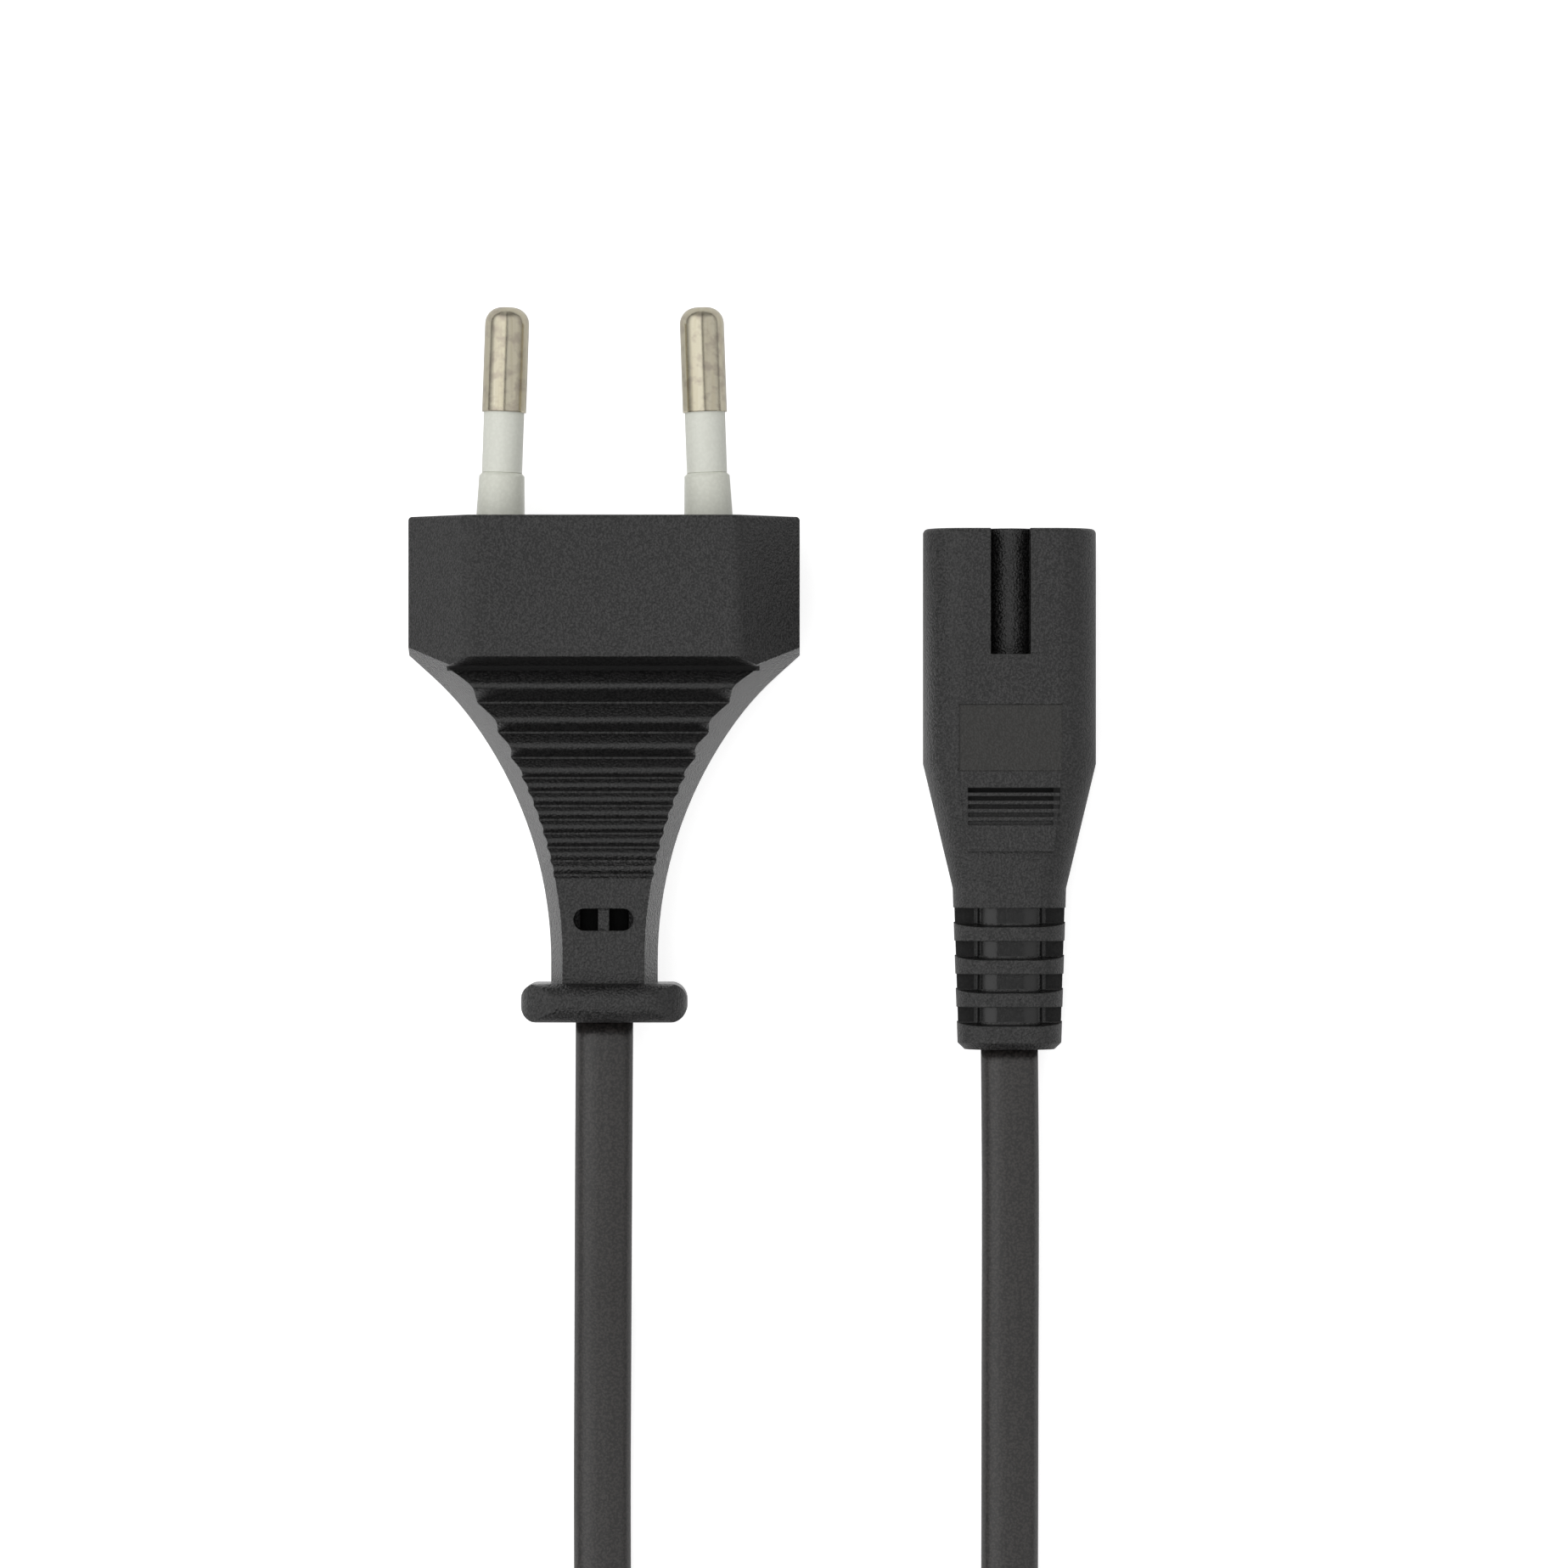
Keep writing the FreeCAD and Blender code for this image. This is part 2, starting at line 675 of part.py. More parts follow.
def lean(item):
    """Stand a right-hand turned piece on its pin's axis, which leans inwards to the tip."""
    in_plug(item, "pin_spacing / 2")
    bind(item, "Placement.Rotation.Angle", "pin_tilt_angle * 1deg")
    return item


def make_bridge(pins):
    """The hard insert: a block with two bosses, bored for the pins."""
    body = new_body("bridge_block")
    sketch = new_sketch(body, "bridge_outline", "XZ_Plane", "bridge_cover")
    rounded_rectangle(sketch, "(bridge_width / 2)", "(bridge_height / 2)", "bridge_corner_radius")
    pad(body, "bridge_pad", sketch, "bridge_depth")
    in_plug(body)
    boss_right = lean(make_boss())
    boss_left = twin("bridge_boss_left", boss_right, PLUG_X)
    solid = fuse("bridge_solid", [body, boss_right, boss_left])
    return cut("pin_bridge", solid, fuse("bridge_bores", pins))


# Connector moulding
def pad_plan(sketch):
    """The ribbed half of the thumb pad in plan, narrower towards the cord."""
    outline(sketch, [
        ("-pad_width / 2", "-pad_grip_y"), ("-pad_back_width / 2", "-pad_back_y"),
        ("pad_back_width / 2", "-pad_back_y"), ("pad_width / 2", "-pad_grip_y"),
    ])


def make_connector_form():
    """The connector's outside without the gaps of its bend relief."""
    body = new_body("connector_form")
    stations = [
        ("0", "connector_width", "connector_thickness", "connector_side_radius"),
        ("connector_straight", "connector_width", "connector_thickness", "connector_side_radius"),
        ("connector_taper_end", "taper_width", "taper_thickness", "taper_side_radius"),
        ("connector_length", "tail_width", "tail_thickness", "tail_side_radius"),
    ]
    sections = []
    for number, (distance, width, thickness, radius) in enumerate(stations):
        sketch = new_sketch(body, f"connector_section_{number}", "XZ_Plane", distance)
        rounded_rectangle(sketch, f"({width} / 2)", f"({thickness} / 2)", radius)
        sections.append(sketch)
    doc.recompute()
    loft = body.newObject("PartDesign::AdditiveLoft", "connector_loft")
    loft.Profile = sections[0]
    loft.Sections = sections[1:]
    loft.Ruled = True

    nose = round_edges(body, "nose_edge", loft, lambda edge: lies_at_y(edge, 0), "nose_edge_radius")
    tail_y = -worth("connector_length")
    bevel_edges(body, "tail_edge", nose, lambda edge: lies_at_y(edge, tail_y), "tail_bevel")

    slot = new_sketch(body, "slot_section", "XZ_Plane", "-cut_margin")
    floor = "(connector_thickness / 2 - slot_depth)"
    outline(slot, [
        ("-slot_width / 2", floor), ("slot_width / 2", floor),
        ("slot_width / 2", "connector_thickness"), ("-slot_width / 2", "connector_thickness"),
    ], {0: ("slot_rib_radius", 1)})
    slot_cut = body.newObject("PartDesign::Pocket", "slot_cut")
    slot_cut.Profile = slot
    slot_cut.Reversed = True
    bind(slot_cut, "Length", "slot_length + cut_margin")
    mirror_up_down(body, "slot_below", [slot_cut])

    plan = new_sketch(body, "pad_outline", "XY_Plane")
    pad_plan(plan)
    pad(body, "thumb_pad", plan, "connector_thickness - 2 * grip_recess", both_ways=True)

    level = new_sketch(body, "pad_level", "XY_Plane", "connector_thickness / 2 - grip_recess")
    pad_plan(level)
    level_cut = pocket_through(body, "pad_level_cut", level, upward=True)
    panel = new_sketch(body, "panel_outline", "XY_Plane", "connector_thickness / 2 - pad_recess")
    outline(panel, [
        ("-pad_width / 2", "-pad_grip_y"), ("pad_width / 2", "-pad_grip_y"),
        ("pad_width / 2", "-pad_front_y"), ("-pad_width / 2", "-pad_front_y"),
    ])
    panel_cut = pocket_through(body, "panel_cut", panel, upward=True)
    grooves = []
    for number in range(GROOVES):
        centre = f"(-groove_y - {number} * groove_pitch)"
        depth = f"(groove_depth - {number} * groove_fade)"
        groove = new_sketch(body, f"grip_groove_{number}", "XY_Plane",
                            f"connector_thickness / 2 - grip_recess - {depth}")
        reach = "(pad_back_width / 2 - groove_margin)"
        outline(groove, [
            (f"-{reach}", f"{centre} - groove_width / 2"), (reach, f"{centre} - groove_width / 2"),
            (reach, f"{centre} + groove_width / 2"), (f"-{reach}", f"{centre} + groove_width / 2"),
        ])
        grooves.append(pocket_through(body, f"grip_cut_{number}", groove, upward=True))
    mirror_up_down(body, "pad_below", [level_cut, panel_cut] + grooves)
    return in_connector(body)


def make_relief_gaps():
    """What is taken out between the relief's ribs: four slots less the tube and its side rails."""
    blocks = []
    for number in range(RELIEF_SLOTS):
        body = new_body(f"relief_block_{number}")
        sketch = new_sketch(body, f"relief_section_{number}", "YZ_Plane")
        front = f"(-relief_y - {number} * relief_pitch)"
        back = f"({front} - relief_gap)"
        lip = f"({back} - relief_lean)"
        reach = "(connector_thickness / 2)"
        outline(sketch, [
            (front, reach), (front, f"-{reach}"), (lip, f"-{reach}"), (back, "0"), (lip, reach),
        ])
        pad(body, f"relief_pad_{number}", sketch, "connector_width", both_ways=True)
        blocks.append(in_connector(body))

    tube = new_body("relief_tube")
    tube_sketch = new_sketch(tube, "relief_tube_section", "XZ_Plane", "connector_taper_end")
    rounded_rectangle(tube_sketch, "(relief_tube_width / 2)", "(relief_tube_thickness / 2)",
                      "relief_tube_radius")
    pad(tube, "relief_tube_pad", tube_sketch, "connector_length - connector_taper_end")
    rail = new_body("relief_rail")
    rail_sketch = new_sketch(rail, "relief_rail_plan", "XY_Plane")
    wide, narrow = "(taper_width / 2 - relief_rail_inset)", "(tail_width / 2 - relief_rail_inset)"
    outline(rail_sketch, [
        (f"-{narrow}", "-connector_length"), (narrow, "-connector_length"),
        (wide, "-connector_taper_end"), (f"-{wide}", "-connector_taper_end"),
    ])
    pad(rail, "relief_rail_pad", rail_sketch, "relief_rail_thickness", both_ways=True)
    core = fuse("relief_core", [in_connector(tube), in_connector(rail)])
    return cut("relief_gaps", fuse("relief_blocks", blocks), core)


# Contacts of the connector
def make_contact():
    """A rolled spring contact with a slit, and the crimp barrel behind it."""
    body = new_body("contact_right")
    sketch = new_sketch(body, "contact_profile", "XY_Plane")
    bore = "(contact_bore / 2)"
    outer = f"({bore} + contact_wall)"
    front = "(-mouth_length)"
    back = f"({front} - contact_length)"
    neck = f"({back} - contact_neck)"
    end = f"({neck} - contact_crimp_length)"
    crimp = "(crimp_diameter / 2)"
    crimp_bore = "(conductor_diameter / 2)"
    crimp_floor = f"({neck} - crimp_web / 2)"
    outline(sketch, [
        (bore, front), (outer, front), (outer, back), (crimp, neck), (crimp, end),
        (crimp_bore, end), (crimp_bore, crimp_floor), ("0", crimp_floor), ("0", back), (bore, back),
    ])
    revolve(body, "contact_turned", sketch, "V_Axis")
    slit = new_sketch(body, "contact_slit_outline", "XY_Plane")
    outline(slit, [
        ("-contact_slit / 2", f"{back} + contact_neck"), ("contact_slit / 2", f"{back} + contact_neck"),
        ("contact_slit / 2", "0"), ("-contact_slit / 2", "0"),
    ])
    pocket_through(body, "contact_slit_cut", slit, upward=True)
    return in_connector(body, "contact_spacing / 2")


def along_connector(name, radius, start, length, side):
    """A round bar along one contact's axis, from a distance behind the front face."""
    bar = doc.addObject("Part::Cylinder", name)
    bind(bar, "Radius", radius)
    bind(bar, "Height", length)
    bar.Placement.Rotation = FreeCAD.Rotation(FreeCAD.Vector(1, 0, 0), 90)
    return in_connector(bar, f"({side} * contact_spacing / 2)", f"(-{start})")


def make_carrier():
    """The figure-eight insert: two barrels and a web, bored for the contacts behind round mouths."""
    barrels, bores = [], []
    contact_radius = "(contact_bore / 2 + contact_wall)"
    for side, name in ((1, "right"), (-1, "left")):
        barrels.append(along_connector(f"carrier_barrel_{name}", "carrier_barrel_radius", "0",
                                       "mouth_length + contact_length", side))
        bores.append(along_connector(f"carrier_mouth_{name}", "contact_bore / 2", "0",
                                     "mouth_length", side))
        bores.append(along_connector(f"carrier_bore_{name}", contact_radius, "mouth_length",
                                     "contact_length", side))
    web = doc.addObject("Part::Box", "carrier_web_block")
    bind(web, "Length", "contact_spacing")
    bind(web, "Width", "mouth_length + contact_length")
    bind(web, "Height", "carrier_web")
    in_connector(web, "(-contact_spacing / 2)", "(-mouth_length - contact_length)", "(-carrier_web / 2)")
    solid = fuse("carrier_solid", barrels + [web])
    return solid, cut("contact_carrier", solid, fuse("carrier_bores", bores))


# Conductors, cores and the end of the sheath inside each moulding
def make_sheath_end(name, start_y, end_y):
    """The end of the flat sheath held in a moulding."""
    start = FreeCAD.Vector(0, start_y, 0)
    way = FreeCAD.Vector(0, end_y - start_y, 0)
    section = Part.Face(flat_oval(start, way, worth("cord_width"), worth("cord_thickness")))
    return shape_feature(name, section.extrude(way))


def lead_core(points, tail, name_core, name_wire):
    """One insulated core from the crimp to the sheath, and the stripped end of its conductor.

    The insulation runs through the points with sharp corners. The conductor reaches from the
    tail, inside the crimp, to its grip in the insulation.
    """
    ahead = (points[1] - points[0]).normalize()
    bare_length = (points[0] - tail).Length + worth("conductor_grip")
    conductor = Part.makeCylinder(worth("conductor_diameter / 2"), bare_length, tail, ahead)
    section = Part.Wire([Part.Circle(points[0], ahead, worth("core_diameter / 2")).toShape()])
    sharp_corners = 1
    insulation = Part.makePolygon(points).makePipeShell([section], True, False, sharp_corners)
    return shape_feature(name_core, insulation.cut(conductor)), shape_feature(name_wire, conductor)


plug_form = make_plug_form()
pin_right = lean(make_pin())
pin_left = twin("pin_left", pin_right, PLUG_X)
sleeve_right = lean(make_sleeve())
sleeve_left = twin("pin_sleeve_left", sleeve_right, PLUG_X)
pin_bridge = make_bridge([pin_right, pin_left])

tilt = math.radians(worth("pin_tilt_angle"))
crimp_start = worth("bridge_cover + bridge_depth + pin_tail_length")
crimp_end = crimp_start + worth("crimp_length")


def on_pin_axis(distance):
    """A point on the right pin's axis, a distance behind the mating face."""
    across = worth("pin_spacing / 2") + distance * math.sin(tilt)
    return FreeCAD.Vector(across, -distance * math.cos(tilt), 0)


core_x = worth("core_spacing / 2")
splay_y = worth("plug_sheath_y - core_splay")
plug_core, plug_wire = lead_core(
    [
        on_pin_axis(crimp_end),
        on_pin_axis(crimp_end + worth("core_splay")),
        FreeCAD.Vector(core_x, -splay_y, 0),
        FreeCAD.Vector(core_x, -worth("plug_sheath_y"), 0),
    ],
    on_pin_axis(crimp_start + worth("crimp_web")),
    "plug_core_brown", "plug_wire_right",
)
for item in (plug_core, plug_wire):
    in_plug(item)
plug_core_left = twin("plug_core_blue", plug_core, PLUG_X)
plug_wire_left = twin("plug_wire_left", plug_wire, PLUG_X)
plug_exit = worth("flange_y + flange_length")
plug_sheath = in_plug(make_sheath_end("plug_sheath_end", -worth("plug_sheath_y"), -plug_exit))

plug_inserts = fuse("plug_inserts", [
    pin_bridge, pin_right, pin_left, plug_core, plug_core_left, plug_wire, plug_wire_left, plug_sheath,
])
plug_body = cut("plug_body", plug_form, plug_inserts)

contact_right = make_contact()
contact_left = twin("contact_left", contact_right, CONNECTOR_X)
carrier_solid, contact_carrier = make_carrier()

contact_x = worth("contact_spacing / 2")
contact_crimp_start = worth("mouth_length + contact_length + contact_neck")
contact_crimp_end = contact_crimp_start + worth("contact_crimp_length")
connector_core, connector_wire = lead_core(
    [
        FreeCAD.Vector(contact_x, -contact_crimp_end, 0),
        FreeCAD.Vector(contact_x, -contact_crimp_end - worth("core_splay"), 0),
        FreeCAD.Vector(core_x, -worth("connector_sheath_y - core_splay"), 0),
        FreeCAD.Vector(core_x, -worth("connector_sheath_y"), 0),
    ],
    FreeCAD.Vector(contact_x, -contact_crimp_start - worth("crimp_web / 2"), 0),
    "connector_core_brown", "connector_wire_right",
)
for item in (connector_core, connector_wire):
    in_connector(item)
connector_core_left = twin("connector_core_blue", connector_core, CONNECTOR_X)
connector_wire_left = twin("connector_wire_left", connector_wire, CONNECTOR_X)
connector_sheath = in_connector(make_sheath_end(
    "connector_sheath_end", -worth("connector_sheath_y"), -worth("connector_length")))

connector_outside = cut("connector_outside", make_connector_form(), make_relief_gaps())
connector_inserts = fuse("connector_inserts", [
    carrier_solid, contact_right, contact_left, connector_core, connector_core_left,
    connector_wire, connector_wire_left, connector_sheath,
])
connector_body = cut("connector_body", connector_outside, connector_inserts)

# Coil of the length that is put away, with a straight lead-in on each side
coil_x, coil_y = worth("coil_x"), -worth("coil_y")
coil_half_width = worth("coil_columns * coil_pitch / 2")
coil_outer_radius = worth("coil_mean_radius") + coil_half_width
cord_z = worth("cord_thickness / 2")


def make_coil_ring():
    """The outer shape of the bundled turns."""
    body = new_body("coil_ring")
    sketch = new_sketch(body, "coil_section", "XZ_Plane")
    inner = "(coil_mean_radius - coil_columns * coil_pitch / 2)"
    outer = "(coil_mean_radius + coil_columns * coil_pitch / 2)"
    top = "(coil_lift + 2 * cord_width)"
    outline(sketch, [(inner, "coil_lift"), (outer, "coil_lift"), (outer, top), (inner, top)])
    revolve(body, "coil_turned", sketch, "V_Axis")
    return place(body, "coil_x", "-coil_y", "0")


def lead_in(side):
    """Start and end of the straight stretch that touches the outer turn, on one side of the coil."""
    turn = math.radians(worth("lead_in_angle"))
    radius = coil_outer_radius - cord_z
    across, up = side * radius * math.cos(turn), radius * math.sin(turn)
    touch = FreeCAD.Vector(coil_x + across, coil_y + up, cord_z)
    away = FreeCAD.Vector(-side * math.sin(turn), math.cos(turn), 0)
    return touch + away * worth("lead_in_length"), touch


def make_lead_in(name, side):
    """One straight lead-in as a flat oval bar."""
    start, touch = lead_in(side)
    section = Part.Face(flat_oval(start, touch - start, worth("cord_width"), worth("cord_thickness")))
    return shape_feature(name, section.extrude(touch - start))


coil = fuse("cord_coil", [
    make_coil_ring(), make_lead_in("lead_in_left", -1), make_lead_in("lead_in_right", 1),
])

# Cord runs between the two ends and the coil: points chosen by hand, from the exit to the lead-in
PLUG_RUN = [
    (-13.45, -30.97, 6.85), (-13.45, -39.5, 6.85), (-13.45, -50.0, 5.3), (-13.45, -62.0, 2.5),
    (-13.45, -76.0, 1.6), (-13.45, -92.12, 1.6),
]
CONNECTOR_RUN = [
    (23.25, -33.58, 3.95), (23.25, -42.0, 3.95), (23.25, -52.0, 3.25), (23.25, -63.5, 1.95),
    (23.25, -76.0, 1.6), (23.25, -92.12, 1.6),
]


def make_run(name, route, side):
    """A cord run as one swept solid, with its volume set against its section and length."""
    start, touch = lead_in(side)
    points = [FreeCAD.Vector(*point) for point in route] + [start]
    path = rounded_path(points, name)
    ahead = points[1] - points[0]
    section = flat_oval(points[0], ahead, worth("cord_width"), worth("cord_thickness"))
    solid = sweep(path, section)
    expected = Part.Face(section).Area * path.Length
    print(name, "length", round(path.Length, 1), "volume", round(solid.Volume), "expected", round(expected))
    return shape_feature(name, solid)


plug_run = make_run("cord_plug_run", PLUG_RUN, -1)
connector_run = make_run("cord_connector_run", CONNECTOR_RUN, 1)


def make_tie():
    """A flat wire tie round the bundle at the coil's far side, with its twisted tail."""
    inner_x = "(coil_columns * coil_pitch / 2 + tie_gap)"
    inner_z = "(cord_width + tie_gap)"
    band = new_body("tie_band")
    sketch = new_sketch(band, "tie_section", "YZ_Plane")
    centre_y, centre_z = "(-coil_mean_radius)", "(coil_lift + cord_width)"
    rounded_rectangle(sketch, f"({inner_x} + tie_thickness)", f"({inner_z} + tie_thickness)",
                      "(tie_corner_radius + tie_thickness)", centre_y, centre_z)
    rounded_rectangle(sketch, inner_x, inner_z, "tie_corner_radius", centre_y, centre_z)
    pad(band, "tie_pad", sketch, "tie_width", both_ways=True)
    place(band, "coil_x", "-coil_y", "0")
    tail = doc.addObject("Part::Cylinder", "tie_tail")
    bind(tail, "Radius", "tie_tail_diameter / 2")
    bind(tail, "Height", "tie_tail_length")
    tail.Placement.Rotation = FreeCAD.Rotation(FreeCAD.Vector(1, 0, 0), 90)
    place(tail, "coil_x", f"-coil_y - coil_mean_radius - {inner_x} - tie_thickness / 2",
          "coil_lift + cord_width")
    return fuse("coil_tie", [band, tail])


coil_tie = make_tie()

NODES = [
    plug_body, pin_bridge, pin_left, pin_right, sleeve_left, sleeve_right,
    plug_core, plug_core_left, plug_wire, plug_wire_left, plug_sheath,
    connector_body, contact_carrier, contact_left, contact_right,
    connector_core, connector_core_left, connector_wire, connector_wire_left, connector_sheath,
    plug_run, coil, connector_run, coil_tie,
]

doc.recompute()
for item in doc.Objects:
    if "Invalid" in item.State or "Error" in item.State:
        raise RuntimeError(f"{item.Label} failed: {item.State}")
for node in NODES:
    if node.Shape.isNull() or not node.Shape.isValid():
        raise RuntimeError(f"{node.Label} has no sound shape")

os.makedirs("parts", exist_ok=True)
for node in NODES:
    node.Label = node.Name
    node.Shape.exportStep(f"parts/{node.Label}.step")
    box = node.Shape.optimalBoundingBox(True)
    low = [round(value, 2) for value in (box.XMin, box.YMin, box.ZMin)]
    high = [round(value, 2) for value in (box.XMax, box.YMax, box.ZMax)]
    print(node.Label, "solids", len(node.Shape.Solids), "volume", round(node.Shape.Volume, 1),
          "from", low, "to", high)
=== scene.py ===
# %% [markdown]
# # A figure-eight power lead on a white table
# The object is a black mains lead. At one end is a flat two-pin plug, at the other a figure-eight
# connector that fits radios, shavers and small players. We see both ends from straight above. The solids
# come ready made from the CAD model, in metres, so this lesson is about dressing them: light, soft edges,
# moulded grain, nickel, and one long flat cord that lies, turns and coils as a real one does.

# %% Load the solids
import json
import math

import bmesh
import bpy
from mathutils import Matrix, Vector


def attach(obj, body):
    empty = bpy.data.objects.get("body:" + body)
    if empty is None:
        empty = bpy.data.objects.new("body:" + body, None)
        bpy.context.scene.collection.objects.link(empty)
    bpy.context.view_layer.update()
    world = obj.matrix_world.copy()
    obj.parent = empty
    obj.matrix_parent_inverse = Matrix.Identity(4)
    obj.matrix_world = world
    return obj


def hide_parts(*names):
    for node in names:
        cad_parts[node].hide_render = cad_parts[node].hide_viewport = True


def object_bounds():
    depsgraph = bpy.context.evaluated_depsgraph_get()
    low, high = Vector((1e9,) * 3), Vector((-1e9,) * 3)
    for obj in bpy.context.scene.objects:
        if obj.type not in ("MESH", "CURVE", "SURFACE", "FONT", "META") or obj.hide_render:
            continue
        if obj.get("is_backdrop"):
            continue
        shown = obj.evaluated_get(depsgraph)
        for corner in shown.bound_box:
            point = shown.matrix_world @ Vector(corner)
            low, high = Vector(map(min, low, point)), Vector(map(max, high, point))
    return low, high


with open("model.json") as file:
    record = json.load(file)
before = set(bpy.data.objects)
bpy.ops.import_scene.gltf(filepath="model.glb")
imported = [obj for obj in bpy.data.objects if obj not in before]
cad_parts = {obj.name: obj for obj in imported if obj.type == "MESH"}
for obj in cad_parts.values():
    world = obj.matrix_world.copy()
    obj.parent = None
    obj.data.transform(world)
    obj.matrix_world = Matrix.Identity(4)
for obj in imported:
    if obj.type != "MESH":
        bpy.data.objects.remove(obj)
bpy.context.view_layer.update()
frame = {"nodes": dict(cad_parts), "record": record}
nodes = frame["nodes"]
MM = 0.001
bpy.ops.object.select_all(action="DESELECT")

# %% [markdown]
# ## The camera
# The photograph looks straight down, from far enough that the pins and the plug's flanks hardly lean. A
# long lens at 600 mm over the plug's middle height gives the same view: 141.75 mm of table across the
# square picture. With no turn at all, a camera looks down -Z with +Y up, which is just what is needed.

# %% Camera
PICTURE_WIDTH = 141.75 * MM
PICTURE_MIDDLE = (2.78 * MM, -9.52 * MM)
CAMERA_HEIGHT = 600 * MM
PLUG_MIDDLE = 6.85 * MM
SENSOR = 36.0

camera_data = bpy.data.cameras.new("camera")
camera_data.sensor_width = SENSOR
camera_data.lens = SENSOR * CAMERA_HEIGHT / PICTURE_WIDTH
camera_data.clip_start = 0.01
camera = bpy.data.objects.new("camera", camera_data)
camera.location = (*PICTURE_MIDDLE, PLUG_MIDDLE + CAMERA_HEIGHT)
bpy.context.scene.collection.objects.link(camera)
bpy.context.scene.camera = camera
bpy.context.scene.view_settings.view_transform = "Standard"
print("lens:", round(camera_data.lens, 1), "mm")

# %% [markdown]
# ## Node helpers
# The table, the tent, the plastics and the metals are all made of the same few nodes: sums, ranges and
# mixes. A helper for each keeps a finish readable. A value may be a plain number, a plain colour or the
# output of another node, and one function sorts that out for all of them.

# %% Node helpers


def feed(tree, value, socket):
    """Give a socket a plain number or colour, or link another node's output to it."""
    if isinstance(value, bpy.types.NodeSocket):
        tree.links.new(value, socket)
    elif isinstance(value, tuple):
        socket.default_value = (*value, 1)
    else:
        socket.default_value = value


def math_node(tree, operation, first, second=0.0, third=0.0):
    """A Math node; returns its output."""
    node = tree.nodes.new("ShaderNodeMath")
    node.operation = operation
    for socket, value in zip(node.inputs, (first, second, third)):
        feed(tree, value, socket)
    return node.outputs[0]


def ramp(tree, value, start, end, low, high, interpolation="LINEAR"):
    """Map a value to low, where it is start, through to high, where it is end; returns the output."""
    node = tree.nodes.new("ShaderNodeMapRange")
    node.interpolation_type = interpolation
    labels = ("Value", "From Min", "From Max", "To Min", "To Max")
    for label, number in zip(labels, (value, start, end, low, high)):
        feed(tree, number, node.inputs[label])
    return node.outputs["Result"]


def mix(tree, share, first, second, kind="RGBA"):
    """Mix two colours, or two numbers with kind FLOAT; share is the second one's part."""
    node = tree.nodes.new("ShaderNodeMix")
    node.data_type = kind
    for label, value in (("Factor", share), ("A", first), ("B", second)):
        feed(tree, value, node.inputs[label])
    return node.outputs["Result"]


def new_material(name):
    """A material with nodes; returns it, its node tree and its Principled surface."""
    material = bpy.data.materials.new(name)
    material.use_nodes = True
    return material, material.node_tree, material.node_tree.nodes["Principled BSDF"]


print("helpers:", feed.__name__, math_node.__name__, ramp.__name__, mix.__name__, new_material.__name__)

# %% [markdown]
# ## The table
# The lead was photographed on white, in a tent of cloth with lamps outside it. Black plastic shows
# hardly any colour of its own there. What we see on it is what it mirrors, so the light matters more than
# the paint. The table is a plain pale sheet. The camera sees it a little brighter than it is lit, so it
# clips to white while the shadows under the cord stay. What is glossy mirrors that glow too, but only
# close to the plug, where the flanks of the grip stand over the table and pick it up.

# %% Table
TABLE_SIZE = 6.0
TABLE_DROP = 0.02 * MM
TABLE_PAINT = (0.8, 0.8, 0.8)
TABLE_ROUGHNESS = 0.9
SEEN_GLOW = 0.68
MIRRORED_GLOW = 1.45
GLOW_MIDDLE = (-0.01345, -0.004, 0)
GLOW_INNER, GLOW_OUTER = 0.02, 0.03

bpy.ops.mesh.primitive_plane_add(size=TABLE_SIZE, location=(0, 0, -TABLE_DROP))
table = bpy.context.object
table.name = "table"
bpy.ops.object.transform_apply(location=True, rotation=True, scale=True)

table_material, tree, surface = new_material("white_table")
feed(tree, TABLE_PAINT, surface.inputs["Base Color"])
feed(tree, TABLE_ROUGHNESS, surface.inputs["Roughness"])
feed(tree, (1, 1, 1), surface.inputs["Emission Color"])
ray = tree.nodes.new("ShaderNodeLightPath")
place = tree.nodes.new("ShaderNodeTexCoord")
from_middle = tree.nodes.new("ShaderNodeVectorMath")
from_middle.operation = "DISTANCE"
from_middle.inputs[1].default_value = GLOW_MIDDLE
tree.links.new(place.outputs["Object"], from_middle.inputs[0])
seen = math_node(tree, "MAXIMUM", ray.outputs["Is Camera Ray"], ray.outputs["Is Transmission Ray"])
near = ramp(tree, from_middle.outputs["Value"], GLOW_INNER, GLOW_OUTER, MIRRORED_GLOW, 0.0, "SMOOTHSTEP")
shown = math_node(tree, "MULTIPLY_ADD", ray.outputs["Is Glossy Ray"], near, seen)
feed(tree, math_node(tree, "MULTIPLY", shown, SEEN_GLOW), surface.inputs["Emission Strength"])
table.data.materials.append(table_material)
table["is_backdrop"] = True
print("table:", TABLE_SIZE, "m across")

# %% [markdown]
# ## The tent
# The tent's cloth is the world. Its left side is brighter than its right one, both get dimmer towards the
# table, and its near and far ends are dim. The narrow slot at the top, which the camera looks through,
# draws a thin dark line down the middle of each pin, and the dim ends keep the troughs of the grip black.
# All of it is a product of masks on the direction that a ray leaves in. Angles are in radians from the
# zenith, below zero to the left and above it to the right.

# %% Tent
CLOTH_LEFT, CLOTH_RIGHT = 1.2, 0.76
SLOT_AT, SLOT_HALF, SLOT_BLUR = 0.035, 0.05, 0.025
SLOT_DIM = 0.08
LOW_FROM, HEM_AT = 0.9, 1.47
LOW_LEFT, LOW_RIGHT = 0.35, 0.75
HEM_START, HEM_END = HEM_AT - 0.05, HEM_AT + 0.03
HEM_DIM = 0.3
END_START, END_END = 0.6, 0.85
NEAR_DIM, FAR_DIM = 0.04, 0.4

